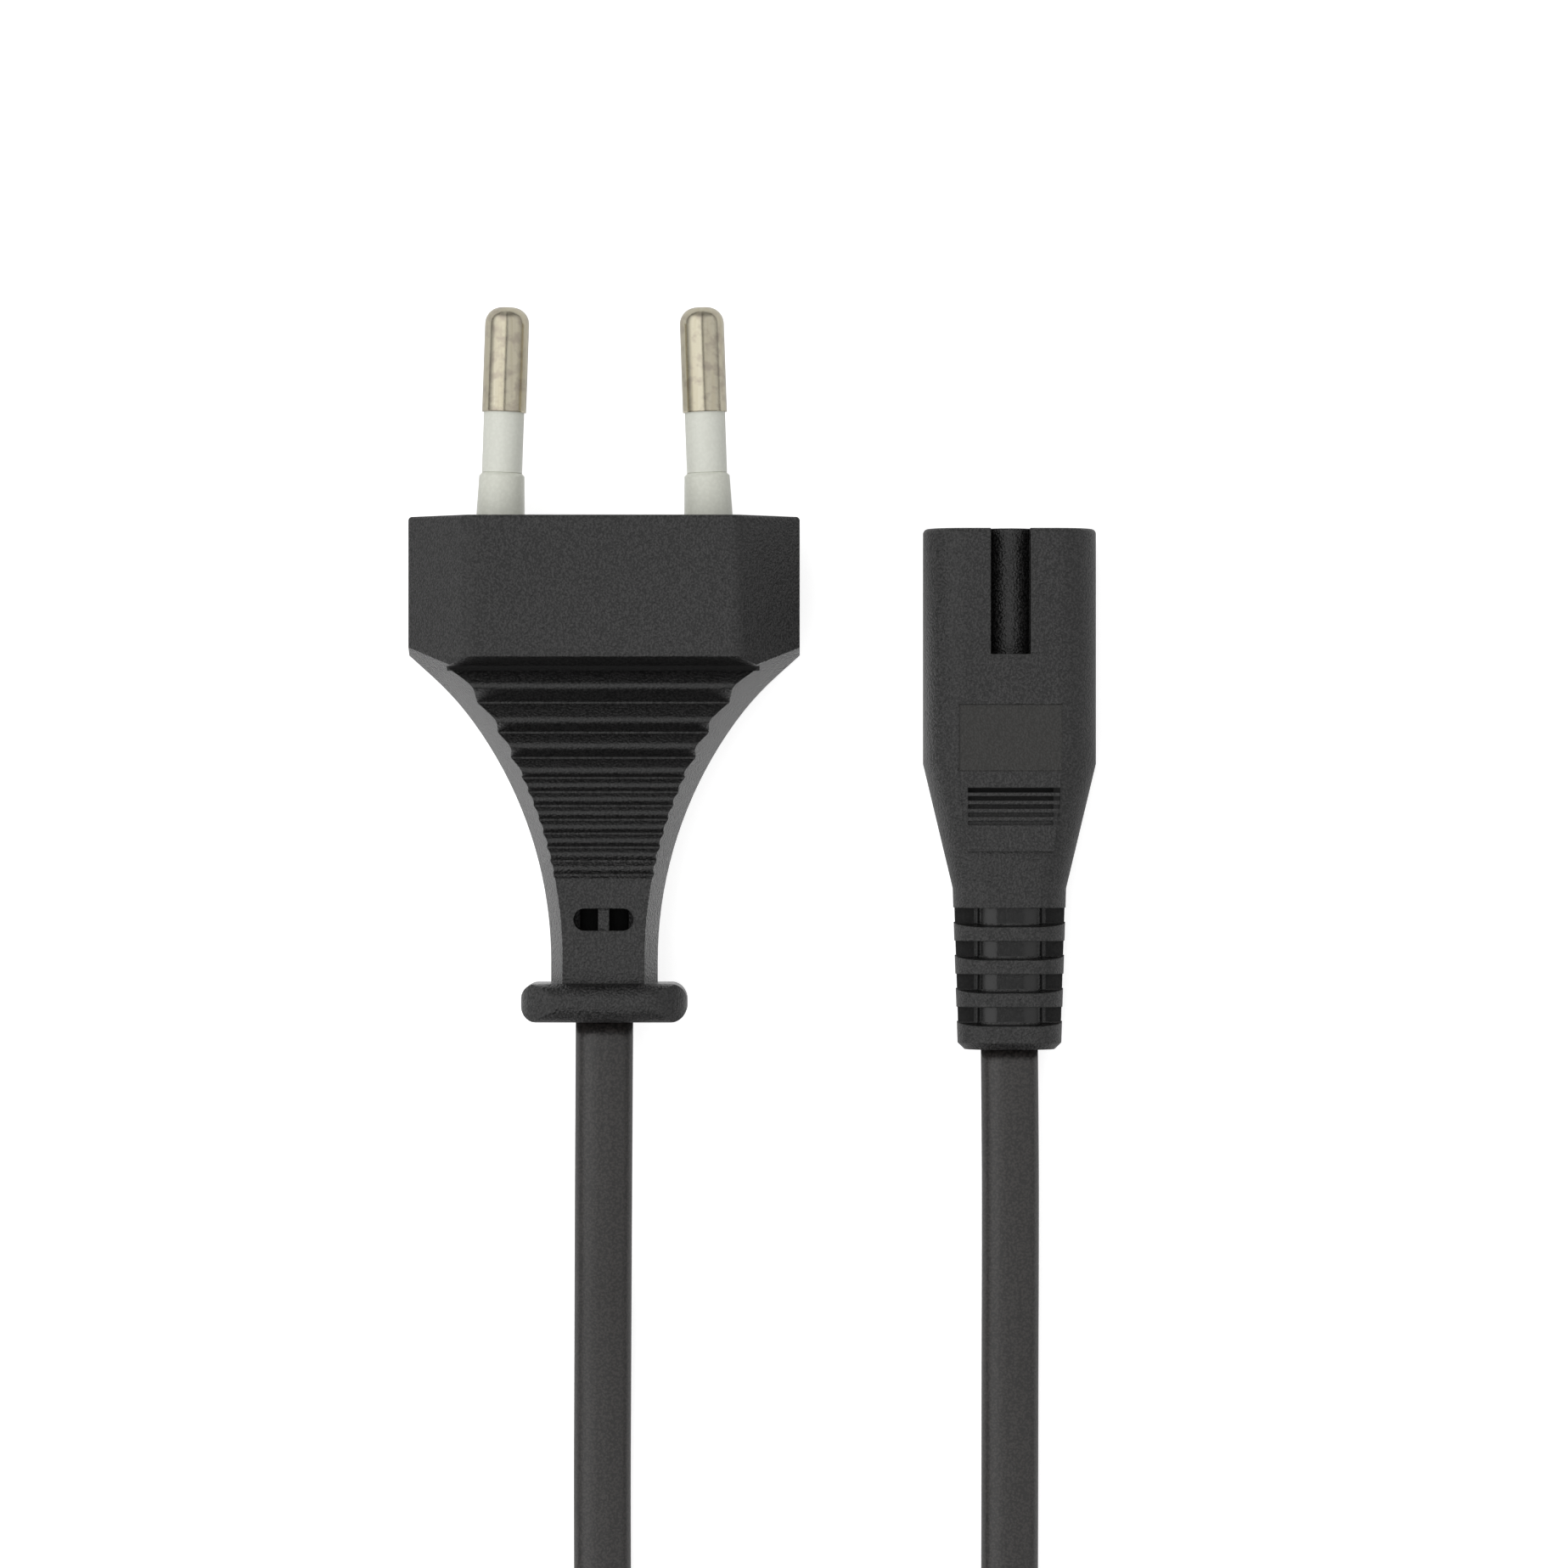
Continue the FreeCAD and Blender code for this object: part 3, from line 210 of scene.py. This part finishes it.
world = bpy.data.worlds.new("light_tent")
bpy.context.scene.world = world
world.use_nodes = True
tree = world.node_tree
room = tree.nodes["Background"]
feed(tree, (1, 1, 1), room.inputs["Color"])
way = tree.nodes.new("ShaderNodeSeparateXYZ")
place = tree.nodes.new("ShaderNodeTexCoord")
tree.links.new(place.outputs["Generated"], way.inputs["Vector"])
leaning = math_node(tree, "ARCTAN2", way.outputs["X"], way.outputs["Z"])
off_zenith = math_node(tree, "ABSOLUTE", leaning)
off_slot = math_node(tree, "ABSOLUTE", math_node(tree, "SUBTRACT", leaning, SLOT_AT))
cloth = ramp(
    tree, leaning, SLOT_AT - SLOT_HALF, SLOT_AT + SLOT_HALF, CLOTH_LEFT, CLOTH_RIGHT, "SMOOTHSTEP"
)
for value, start, end, low, high in (
    (off_slot, SLOT_HALF, SLOT_HALF + SLOT_BLUR, SLOT_DIM, 1.0),
    (leaning, -LOW_FROM, -HEM_AT, 1.0, LOW_LEFT),
    (leaning, LOW_FROM, HEM_AT, 1.0, LOW_RIGHT),
    (off_zenith, HEM_START, HEM_END, 1.0, HEM_DIM),
    (way.outputs["Y"], -END_START, -END_END, 1.0, NEAR_DIM),
    (way.outputs["Y"], END_START, END_END, 1.0, FAR_DIM),
):
    cloth = math_node(tree, "MULTIPLY", cloth, ramp(tree, value, start, end, low, high, "SMOOTHSTEP"))
ray = tree.nodes.new("ShaderNodeLightPath")
shown = math_node(tree, "MAXIMUM", cloth, ray.outputs["Is Camera Ray"])
feed(tree, shown, room.inputs["Strength"])
slot_width = round(math.degrees(2 * SLOT_HALF), 1)
print("tent: cloth", CLOTH_LEFT, "to", CLOTH_RIGHT, "slot", slot_width, "degrees wide")

# %% [markdown]
# ## The lamps
# Two square lamps stand for the soft light that comes through the cloth, most of it from the left. They
# light the lead and cast its faint shadow. No gloss mirrors them, because the cloth in front of them
# would hide their square shape.

# %% Lamps
LIT_PLACE = Vector((0, -0.02, 0))


def add_softbox(name, place, size, power):
    """A square lamp, size metres across, that shines at the lead and that no gloss mirrors."""
    data = bpy.data.lights.new(name, "AREA")
    data.shape = "SQUARE"
    data.size = size
    data.energy = power
    lamp = bpy.data.objects.new(name, data)
    lamp.location = place
    lamp.rotation_euler = (LIT_PLACE - Vector(place)).to_track_quat("-Z", "Y").to_euler()
    lamp.visible_glossy = False
    bpy.context.scene.collection.objects.link(lamp)
    print(name, power, "W, at", place)


add_softbox("lamp_left", (-0.62, 0.0, 0.95), size=1.2, power=3.2)
add_softbox("lamp_right", (0.85, -0.2, 0.7), size=0.7, power=0.4)

# %% [markdown]
# ## Shared effects
# The finishes share a few things: a fine grain pressed into plastic by the mould, a slow change of gloss
# where hands have rubbed, drawn streaks along metal, and a mask that picks out a box of the object, for a
# part of a moulding that is finished another way, and for the parts painted black as shade in hollows.
# Each is a node group that puts out plain values, built once. The shaders stay in the materials.

# %% Grain group


def new_group(name, inputs, outputs):
    """An empty node group with named float inputs (with their values) and named outputs."""
    group = bpy.data.node_groups.new(name, "ShaderNodeTree")
    for label, value in inputs:
        socket = group.interface.new_socket(name=label, in_out="INPUT", socket_type="NodeSocketFloat")
        socket.default_value = value
    for label in outputs:
        group.interface.new_socket(name=label, in_out="OUTPUT", socket_type="NodeSocketFloat")
    return group, group.nodes.new("NodeGroupInput"), group.nodes.new("NodeGroupOutput")


grain_group, given, result = new_group(
    "moulded_grain",
    (("Scale", 4000.0), ("Coarse Scale", 900.0), ("Coarse Share", 0.25)),
    ("Height", "Tone And Pit Shade"),
)
place = grain_group.nodes.new("ShaderNodeTexCoord")
pits = grain_group.nodes.new("ShaderNodeTexNoise")
pits.inputs["Detail"].default_value = 2.5
pits.inputs["Roughness"].default_value = 0.6
pebbles = grain_group.nodes.new("ShaderNodeTexVoronoi")
pebbles.feature = "SMOOTH_F1"
coarse = grain_group.nodes.new("ShaderNodeTexNoise")
coarse.inputs["Detail"].default_value = 2.0
for texture, scale in ((pits, "Scale"), (pebbles, "Scale"), (coarse, "Coarse Scale")):
    grain_group.links.new(place.outputs["Object"], texture.inputs["Vector"])
    grain_group.links.new(given.outputs[scale], texture.inputs["Scale"])
fine = math_node(grain_group, "SUBTRACT", pits.outputs["Fac"], pebbles.outputs["Distance"])
waves = math_node(grain_group, "MULTIPLY", coarse.outputs["Fac"], given.outputs["Coarse Share"])
feed(grain_group, math_node(grain_group, "ADD", fine, waves), result.inputs["Height"])
# The tone is darker where the grain is low: partly the plastic's own tone, partly painted shade in its
# pits.
feed(grain_group, ramp(grain_group, fine, -0.05, 0.25, 0.0, 1.0), result.inputs["Tone And Pit Shade"])
print("group:", grain_group.name)

# %% Streak and handling groups
streak_group, given, result = new_group(
    "drawn_streaks", (("Across", 2500.0), ("Along", 60.0)), ("Height", "Streak")
)
place = streak_group.nodes.new("ShaderNodeTexCoord")
spread = streak_group.nodes.new("ShaderNodeCombineXYZ")
stretch = streak_group.nodes.new("ShaderNodeVectorMath")
stretch.operation = "MULTIPLY"
lines = streak_group.nodes.new("ShaderNodeTexNoise")
lines.inputs["Scale"].default_value = 1.0
lines.inputs["Detail"].default_value = 3.0
for axis, label in (("X", "Across"), ("Y", "Along"), ("Z", "Across")):
    streak_group.links.new(given.outputs[label], spread.inputs[axis])
streak_group.links.new(place.outputs["Object"], stretch.inputs[0])
streak_group.links.new(spread.outputs["Vector"], stretch.inputs[1])
streak_group.links.new(stretch.outputs["Vector"], lines.inputs["Vector"])
for label in ("Height", "Streak"):
    streak_group.links.new(lines.outputs["Fac"], result.inputs[label])

handling_group, given, result = new_group(
    "handling", (("Size", 90.0), ("Low", 0.45), ("High", 0.6)), ("Gloss",)
)
place = handling_group.nodes.new("ShaderNodeTexCoord")
patches = handling_group.nodes.new("ShaderNodeTexNoise")
patches.inputs["Detail"].default_value = 3.0
handling_group.links.new(place.outputs["Object"], patches.inputs["Vector"])
handling_group.links.new(given.outputs["Size"], patches.inputs["Scale"])
rubbed = ramp(
    handling_group, patches.outputs["Fac"], 0.3, 0.7, given.outputs["Low"], given.outputs["High"]
)
feed(handling_group, rubbed, result.inputs["Gloss"])
print("groups:", streak_group.name, handling_group.name)

# %% Box mask group
AXES = ("X", "Y", "Z")
box_group, given, result = new_group(
    "box_mask",
    [(axis, 0.0) for axis in AXES] + [("Half " + axis, 1.0) for axis in AXES] + [("Blur", 0.0001)],
    ("Mask",),
)
place = box_group.nodes.new("ShaderNodeTexCoord")
split = box_group.nodes.new("ShaderNodeSeparateXYZ")
box_group.links.new(place.outputs["Object"], split.inputs["Vector"])
inside = 1.0
for axis in AXES:
    off_middle = math_node(box_group, "SUBTRACT", split.outputs[axis], given.outputs[axis])
    distance = math_node(box_group, "ABSOLUTE", off_middle)
    past = math_node(box_group, "SUBTRACT", distance, given.outputs["Half " + axis])
    within = ramp(box_group, past, 0.0, given.outputs["Blur"], 1.0, 0.0)
    inside = math_node(box_group, "MULTIPLY", within, inside)
feed(box_group, inside, result.inputs["Mask"])
print("group:", box_group.name)

# %% [markdown]
# ## Plastic finishes
# Every plastic on the lead is the same idea with other numbers: a dark and a light colour mixed by the
# grain, a gloss that drifts with handling, and the grain again as bump. The grain's tone is partly the
# plastic's own and partly painted shade, darker in its pits. The mouldings are black and spark-grained,
# the cord's sheath is smoother, the insert and sleeves are a pale hard plastic. A sharp edge of the
# solids catches light when the shader rounds it by a tenth of a millimetre, as the mould does.

# %% Plastics
COARSER = 0.22
PAINT_BLUR = 0.06
BEVEL_SAMPLES = 4


def add_group(tree, group, **values):
    """Place a node group in a material and set its inputs."""
    node = tree.nodes.new("ShaderNodeGroup")
    node.node_tree = group
    for label, value in values.items():
        node.inputs[label.replace("_", " ")].default_value = value
    return node


def painted_box(tree, centre, half):
    """The mask of a box with that centre and half size in mm: 1 inside it, 0 outside."""
    box = add_group(tree, box_group, Blur=PAINT_BLUR * MM)
    for axis, middle, reach in zip(AXES, centre, half):
        box.inputs[axis].default_value = middle * MM
        box.inputs["Half " + axis].default_value = reach * MM
    return box.outputs["Mask"]


def add_relief(tree, surface, height, depth, edge):
    """Bump the surface by height times depth, in mm, on edges rounded in shading to edge, in mm."""
    bump = tree.nodes.new("ShaderNodeBump")
    bump.inputs["Distance"].default_value = depth * MM
    feed(tree, height, bump.inputs["Height"])
    if edge:
        rounding = tree.nodes.new("ShaderNodeBevel")
        rounding.samples = BEVEL_SAMPLES
        rounding.inputs["Radius"].default_value = edge * MM
        tree.links.new(rounding.outputs["Normal"], bump.inputs["Normal"])
    tree.links.new(bump.outputs["Normal"], surface.inputs["Normal"])


def make_plastic(name, dark, light, gloss, grain, parts=(), mirror=0.5, edge=0.0):
    """A moulded plastic: dark and light are colours, gloss is the least and most roughness.

    grain is the grain's size and depth in mm. Each of parts is a box (centre and half size in mm) with
    a colour, roughness and share of grain of its own; some parts are black, as painted shade in hollows.
    mirror is how much the skin reflects; 0.5 is a usual plastic. edge is the radius that its edges seem
    to have, in mm.
    """
    size, depth = grain
    material, tree, surface = new_material(name)
    surface.inputs["Specular IOR Level"].default_value = mirror
    grains = add_group(tree, grain_group, Scale=1 / (size * MM), Coarse_Scale=COARSER / (size * MM))
    handling = add_group(tree, handling_group, Low=gloss[0], High=gloss[1])
    # The dark colour lies in the grain's pits: partly the plastic's tone, partly painted shade.
    colour = mix(tree, grains.outputs["Tone And Pit Shade"], dark, light)
    rough = handling.outputs["Gloss"]
    height = grains.outputs["Height"]
    for centre, half, part_colour, part_gloss, part_grain in parts:
        mask = painted_box(tree, centre, half)
        colour = mix(tree, math_node(tree, "MULTIPLY", mask, 1 - part_grain), colour, part_colour)
        rough = mix(tree, mask, rough, part_gloss, kind="FLOAT")
        height = math_node(tree, "MULTIPLY", height, ramp(tree, mask, 0.0, 1.0, 1.0, part_grain))
    feed(tree, colour, surface.inputs["Base Color"])
    feed(tree, rough, surface.inputs["Roughness"])
    add_relief(tree, surface, height, depth, edge)
    return material


# %% [markdown]
# ## The black mouldings
# Plug and connector are one material, with a few parts finished another way. The grip is darker and has a
# calmer grain. Its first trough, the grooves of the thumb pad and the slots of the strain relief are
# black, as painted shade in them. The connector has a shallow panel with a finish of its own, and a thin
# black line round it that is a painted shadow of the panel's edge. Each part is a box in Object
# coordinates, in
# mm: its centre, its half size, its colour, its roughness and how much of the grain it keeps.

# %% Black mouldings
# Black for the parts that are painted shade in hollows.
PAINTED_SHADE = (0, 0, 0)
GRIP = ((-13.45, -7.0, 6.85), (14.0, 8.8, 6.7), (0.003, 0.003, 0.003), 0.4, 0.6)
# The grip's first trough, painted black and matt: painted shade.
FIRST_TROUGH_SHADE = ((-13.45, 0.86, 6.85), (14.0, 0.18, 6.7), PAINTED_SHADE, 1.0, 0.3)
# A thin black line round the panel: painted shadow of the panel's edge.
PANEL_SHADOW_LINE = ((23.18, -5.26, 3.95), (4.72, 3.07, 3.85), PAINTED_SHADE, 1.0, 0.8)
PANEL = ((23.25, -5.33, 3.95), (4.65, 3.0, 3.85), (0.02, 0.018, 0.014), 0.42, 0.6)
# The thumb pad's grooves, painted black and a little wider than they are: painted shade.
PAD_GROOVE_SHADES = tuple(
    (
        (23.55, -10.08 - 0.74 * number, 7.9),
        (4.15, 0.2 - 0.02 * number, 0.75),
        PAINTED_SHADE,
        1 - 0.1 * number,
        0.15 * number,
    )
    for number in range(5)
)
# The slots between the ribs of the strain relief, painted black: painted shade.
RELIEF_SLOT_SHADES = tuple(
    ((23.25, -21.45 - 2.98 * number, 3.95), (5.0, 0.66, 3.9), PAINTED_SHADE, 0.8, 0.2) for number in range(4)
)
RELIEF_CORE = ((23.25, -26.4, 3.95), (3.2, 5.8, 2.25), (0.001, 0.001, 0.001), 0.22, 0.6)
painted_parts = (GRIP, FIRST_TROUGH_SHADE, PANEL_SHADOW_LINE, PANEL, *PAD_GROOVE_SHADES, *RELIEF_SLOT_SHADES, RELIEF_CORE)
black_moulding = make_plastic(
    "black_moulding",
    (0.0, 0.0, 0.0),
    (0.023, 0.0222, 0.0222),
    gloss=(0.33, 0.41),
    grain=(0.18, 0.085),
    parts=painted_parts,
    mirror=0.62,
    edge=0.12,
)
print("painted parts of the mouldings:", len(painted_parts))

# %% [markdown]
# ## The other plastics
# The cord's sheath is shinier than the mouldings and nearly without grain. The two cores that show in the
# plug's window are painted black and matt there, as painted shade, because the photograph shows the
# window all but black.

# %% Other plastics
# The cores, painted black and matt where the plug's window shows them: painted shade.
WINDOW_SHADE = ((-13.45, -21.72, 6.85), (3.0, 1.6, 3.0), (0.001, 0.001, 0.001), 1.0, 0.0)
black_sheath = make_plastic(
    "black_sheath",
    (0.006, 0.005, 0.0045),
    (0.026, 0.0225, 0.021),
    gloss=(0.34, 0.42),
    grain=(0.2, 0.012),
    mirror=0.72,
)
black_insert = make_plastic(
    "black_insert", (0.014, 0.014, 0.014), (0.04, 0.039, 0.039), (0.26, 0.34), (0.25, 0.03)
)
pale_insert = make_plastic(
    "pale_insert", (0.67, 0.68, 0.6), (0.71, 0.72, 0.64), (0.35, 0.45), (0.3, 0.002), edge=0.15
)
pale_sleeve = make_plastic(
    "pale_sleeve", (0.67, 0.68, 0.61), (0.7, 0.71, 0.64), (0.34, 0.38), (0.3, 0.001)
)
brown_core = make_plastic(
    "brown_core", (0.16, 0.06, 0.025), (0.22, 0.1, 0.045), (0.35, 0.45), (0.2, 0.004), (WINDOW_SHADE,)
)
blue_core = make_plastic(
    "blue_core", (0.04, 0.13, 0.38), (0.07, 0.18, 0.46), (0.35, 0.45), (0.2, 0.004), (WINDOW_SHADE,)
)
tie_coating = make_plastic(
    "tie_coating", (0.015, 0.015, 0.015), (0.03, 0.03, 0.03), (0.35, 0.5), (0.4, 0.01)
)
made = (black_sheath, black_insert, pale_insert, pale_sleeve, brown_core, blue_core, tie_coating)
print("plastics:", *(plastic.name for plastic in made))

# %% [markdown]
# ## Metal finishes
# The pins are drawn brass under nickel: bright, a little warm, with fine streaks along their length and
# blotches where the plate has aged. The contacts inside the connector are the same kind of metal,
# yellower, and the wires are bare copper.

# %% Metals
BLOTCHES = {"Size": 900.0, "Low": -0.9, "High": 1.2}


def make_metal(name, dark, light, aged, gloss, streak_depth, across=2500.0, edge=0.0):
    """A drawn metal with streaks along Y, the way every pin and contact on the lead points.

    Blotches of the aged colour lie over it. The streaks' depth and the edges' radius are in mm.
    """
    material, tree, surface = new_material(name)
    surface.inputs["Metallic"].default_value = 1.0
    streaks = add_group(tree, streak_group, Across=across)
    blotches = add_group(tree, handling_group, **BLOTCHES)
    bright = mix(tree, streaks.outputs["Streak"], dark, light)
    feed(tree, mix(tree, blotches.outputs["Gloss"], bright, aged), surface.inputs["Base Color"])
    rough = ramp(tree, streaks.outputs["Streak"], 0.0, 1.0, *gloss)
    feed(tree, rough, surface.inputs["Roughness"])
    add_relief(tree, surface, streaks.outputs["Height"], streak_depth, edge)
    return material


nickel = make_metal(
    "nickel_plate",
    (0.48, 0.42, 0.29),
    (0.7, 0.67, 0.55),
    aged=(0.46, 0.41, 0.33),
    gloss=(0.1, 0.22),
    streak_depth=0.002,
    edge=0.25,
)
spring_brass = make_metal(
    "spring_brass", (0.55, 0.44, 0.22), (0.7, 0.58, 0.32), (0.5, 0.38, 0.2), (0.25, 0.45), 0.004
)
copper = make_metal(
    "copper_strands", (0.6, 0.3, 0.17), (0.8, 0.45, 0.28), (0.5, 0.25, 0.15), (0.25, 0.4), 0.02, 6000.0
)
print("metals:", nickel.name, spring_brass.name, copper.name)

# %% Dress the solids
FINISHES = {
    "moulding": black_moulding,
    "insert": pale_insert,
    "sleeve": pale_sleeve,
    "pin_metal": nickel,
    "carrier": black_insert,
    "contact_metal": spring_brass,
    "core_brown": brown_core,
    "core_blue": blue_core,
    "conductor": copper,
    "cord_sheath": black_sheath,
    "tie": tie_coating,
}
slot_of = {part["node"]: part["material_slot"] for part in frame["record"]["subparts"]}
for name, node in nodes.items():
    node.data.materials.clear()
    node.data.materials.append(FINISHES[slot_of[name]])
print("dressed:", len(slot_of), "solids in", len(FINISHES), "finishes")

# %% [markdown]
# ## The route of the cord
# The cord is one flat two-core cable, 1.5 m long and 5.2 by 3.2 mm thick. It runs straight out of the plug
# and down the picture. Out of view it turns onto its edge and winds into a neat round coil: the lower
# layer winds inwards, the upper one outwards, and the other end runs back up to the connector. A smooth
# curve through given points says all that. Near the ends they are the points of the solids' route,
# moved sideways by up to 0.4 mm, because the photograph shows the cord run a little slanting.

# %% Cord route
WIDTH = 5.2 * MM
THICKNESS = 3.2 * MM
COIL_CENTRE = (4.9, -140.0)
COIL_OUTER = 33.62
COIL_INNER = 20.98
LOWER_LAYER = 3.4
UPPER_LAYER = 8.6
CLIMB_START, CLIMB_END = 0.46, 0.54
FIRST_TOUCH = 160.0
LAST_TOUCH = 20.0
TURNS = 7.0 + (LAST_TOUCH + 360 - FIRST_TOUCH) / 360
POINTS_A_TURN = 16

from_plug = [
    (-13.45, -30.97, 6.85),
    (-13.5, -39.5, 6.85),
    (-13.6, -50.0, 5.3),
    (-13.72, -62.0, 2.5),
    (-13.81, -76.0, 1.6),
    (-13.7, -92.12, 1.65),
    (-18.826, -106.888, 2.8),
]
from_connector = [
    (23.25, -33.58, 3.95),
    (23.34, -42.0, 3.95),
    (23.37, -52.0, 3.25),
    (23.37, -63.5, 1.95),
    (23.37, -76.0, 1.6),
    (23.3, -92.12, 1.65),
    (28.626, -106.888, 2.8),
]


def smooth_share(value, start, end):
    """A smooth step from 0, where the value is start, to 1, where it is end."""
    share = min(max((value - start) / (end - start), 0.0), 1.0)
    return share * share * (3 - 2 * share)


def coil_points():
    """The turns' points: inwards along the lower layer, up, and outwards along the upper layer."""
    points = []
    count = round(TURNS * POINTS_A_TURN)
    step = TURNS * 360 / count
    stretch = 1 / math.cos(math.radians(step / 2))
    for k in range(count):
        share = (k + 0.5) / count
        angle = math.radians(FIRST_TOUCH + (k + 0.5) * step)
        radius = (COIL_INNER + (COIL_OUTER - COIL_INNER) * abs(1 - 2 * share)) * stretch
        climb = smooth_share(share, CLIMB_START, CLIMB_END)
        height = LOWER_LAYER + (UPPER_LAYER - LOWER_LAYER) * climb
        x = COIL_CENTRE[0] + radius * math.cos(angle)
        y = COIL_CENTRE[1] + radius * math.sin(angle)
        points.append((x, y, height))
    return points


def smooth_curve(name, points_mm):
    """A NURBS curve with those points as its control points, given in millimetres."""
    data = bpy.data.curves.new(name, "CURVE")
    data.dimensions = "3D"
    data.resolution_u = 10
    spline = data.splines.new("NURBS")
    spline.points.add(len(points_mm) - 1)
    for point, place in zip(spline.points, points_mm):
        point.co = (*(c * MM for c in place), 1.0)
    spline.order_u = 3
    spline.use_endpoint_u = True
    curve = bpy.data.objects.new(name, data)
    bpy.context.scene.collection.objects.link(curve)
    return curve


def curve_line(curve):
    """The points that a bare curve gives, in order."""
    bpy.context.view_layer.update()
    line = bpy.data.meshes.new_from_object(curve)
    return [v.co.copy() for v in line.vertices]


def distances_along(points):
    """How far along the line through the points each of them lies."""
    distances = [0.0]
    for a, b in zip(points, points[1:]):
        distances.append(distances[-1] + math.dist(a, b))
    return distances


route = from_plug + coil_points() + from_connector[::-1]
cord_curve = smooth_curve("cord_route", route)
cord_line = curve_line(cord_curve)
bpy.data.objects.remove(cord_curve)
cord_length = round(distances_along(cord_line)[-1], 4)
print("route points:", len(route), "length:", cord_length, "m, turns:", round(TURNS, 2))

# %% [markdown]
# ## The flat cord
# The section is a flat oval: two half circles and two flats. It is swept along the curve by hand, because
# the flat side has to be told which way to face: down on the table at both ends, and turned on its edge
# by a quarter turn in the coil. The quarter turn is spread over a stretch that the picture doesn't show.

# %% Cord
TWIST_START = 0.058
TWIST_END = 0.098
ARC_STEPS = 9
FLAT_STEPS = 3


def flat_oval_section():
    """The section's points, across by up, in order round it."""
    half_flat = (WIDTH - THICKNESS) / 2
    radius = THICKNESS / 2
    points = []
    for side, start in ((1, -90), (-1, 90)):
        for k in range(ARC_STEPS):
            angle = math.radians(start + 180 * k / (ARC_STEPS - 1))
            points.append((side * half_flat + radius * math.cos(angle), radius * math.sin(angle)))
        for k in range(1, FLAT_STEPS):
            points.append((side * half_flat * (1 - 2 * k / FLAT_STEPS), side * radius))
    return points


def sweep_cord(name, line, section):
    """A closed tube along the line, with a UV map in metres: round the section, and along the cord."""
    mesh = bpy.data.meshes.new(name)
    work = bmesh.new()
    rings = []
    travelled = distances_along(line)
    up = Vector((0, 0, 1))
    for k, centre in enumerate(line):
        ahead = line[min(k + 1, len(line) - 1)] - line[max(k - 1, 0)]
        across = ahead.cross(up).normalized()
        above = across.cross(ahead).normalized()
        from_end = min(travelled[k], travelled[-1] - travelled[k])
        roll = math.pi / 2 * smooth_share(from_end, TWIST_START, TWIST_END)
        side = across * math.cos(roll) + above * math.sin(roll)
        face = above * math.cos(roll) - across * math.sin(roll)
        rings.append([work.verts.new(centre + side * u + face * v) for u, v in section])
    uv = work.loops.layers.uv.new("UVMap")
    around = distances_along(section + section[:1])
    for k in range(len(rings) - 1):
        for j in range(len(section)):
            n = (j + 1) % len(section)
            corners = ((k, j), (k, n), (k + 1, n), (k + 1, j))
            quad = work.faces.new([rings[r][c] for r, c in corners])
            quad.smooth = True
            for loop, (r, c) in zip(quad.loops, corners):
                loop[uv].uv = (around[j + 1] if c == n else around[j], travelled[r])
    work.faces.new(rings[0][::-1])
    work.faces.new(rings[-1])
    bmesh.ops.recalc_face_normals(work, faces=work.faces)
    work.to_mesh(mesh)
    work.free()
    piece = bpy.data.objects.new(name, mesh)
    bpy.context.scene.collection.objects.link(piece)
    return piece


cord = sweep_cord("flat_cord", cord_line, flat_oval_section())
cord.data.materials.append(black_sheath)
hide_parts("cord_plug_run", "cord_coil", "cord_connector_run")
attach(cord, "root")
print("cord faces:", len(cord.data.polygons))

# %% Measure the bounds
low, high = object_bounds()
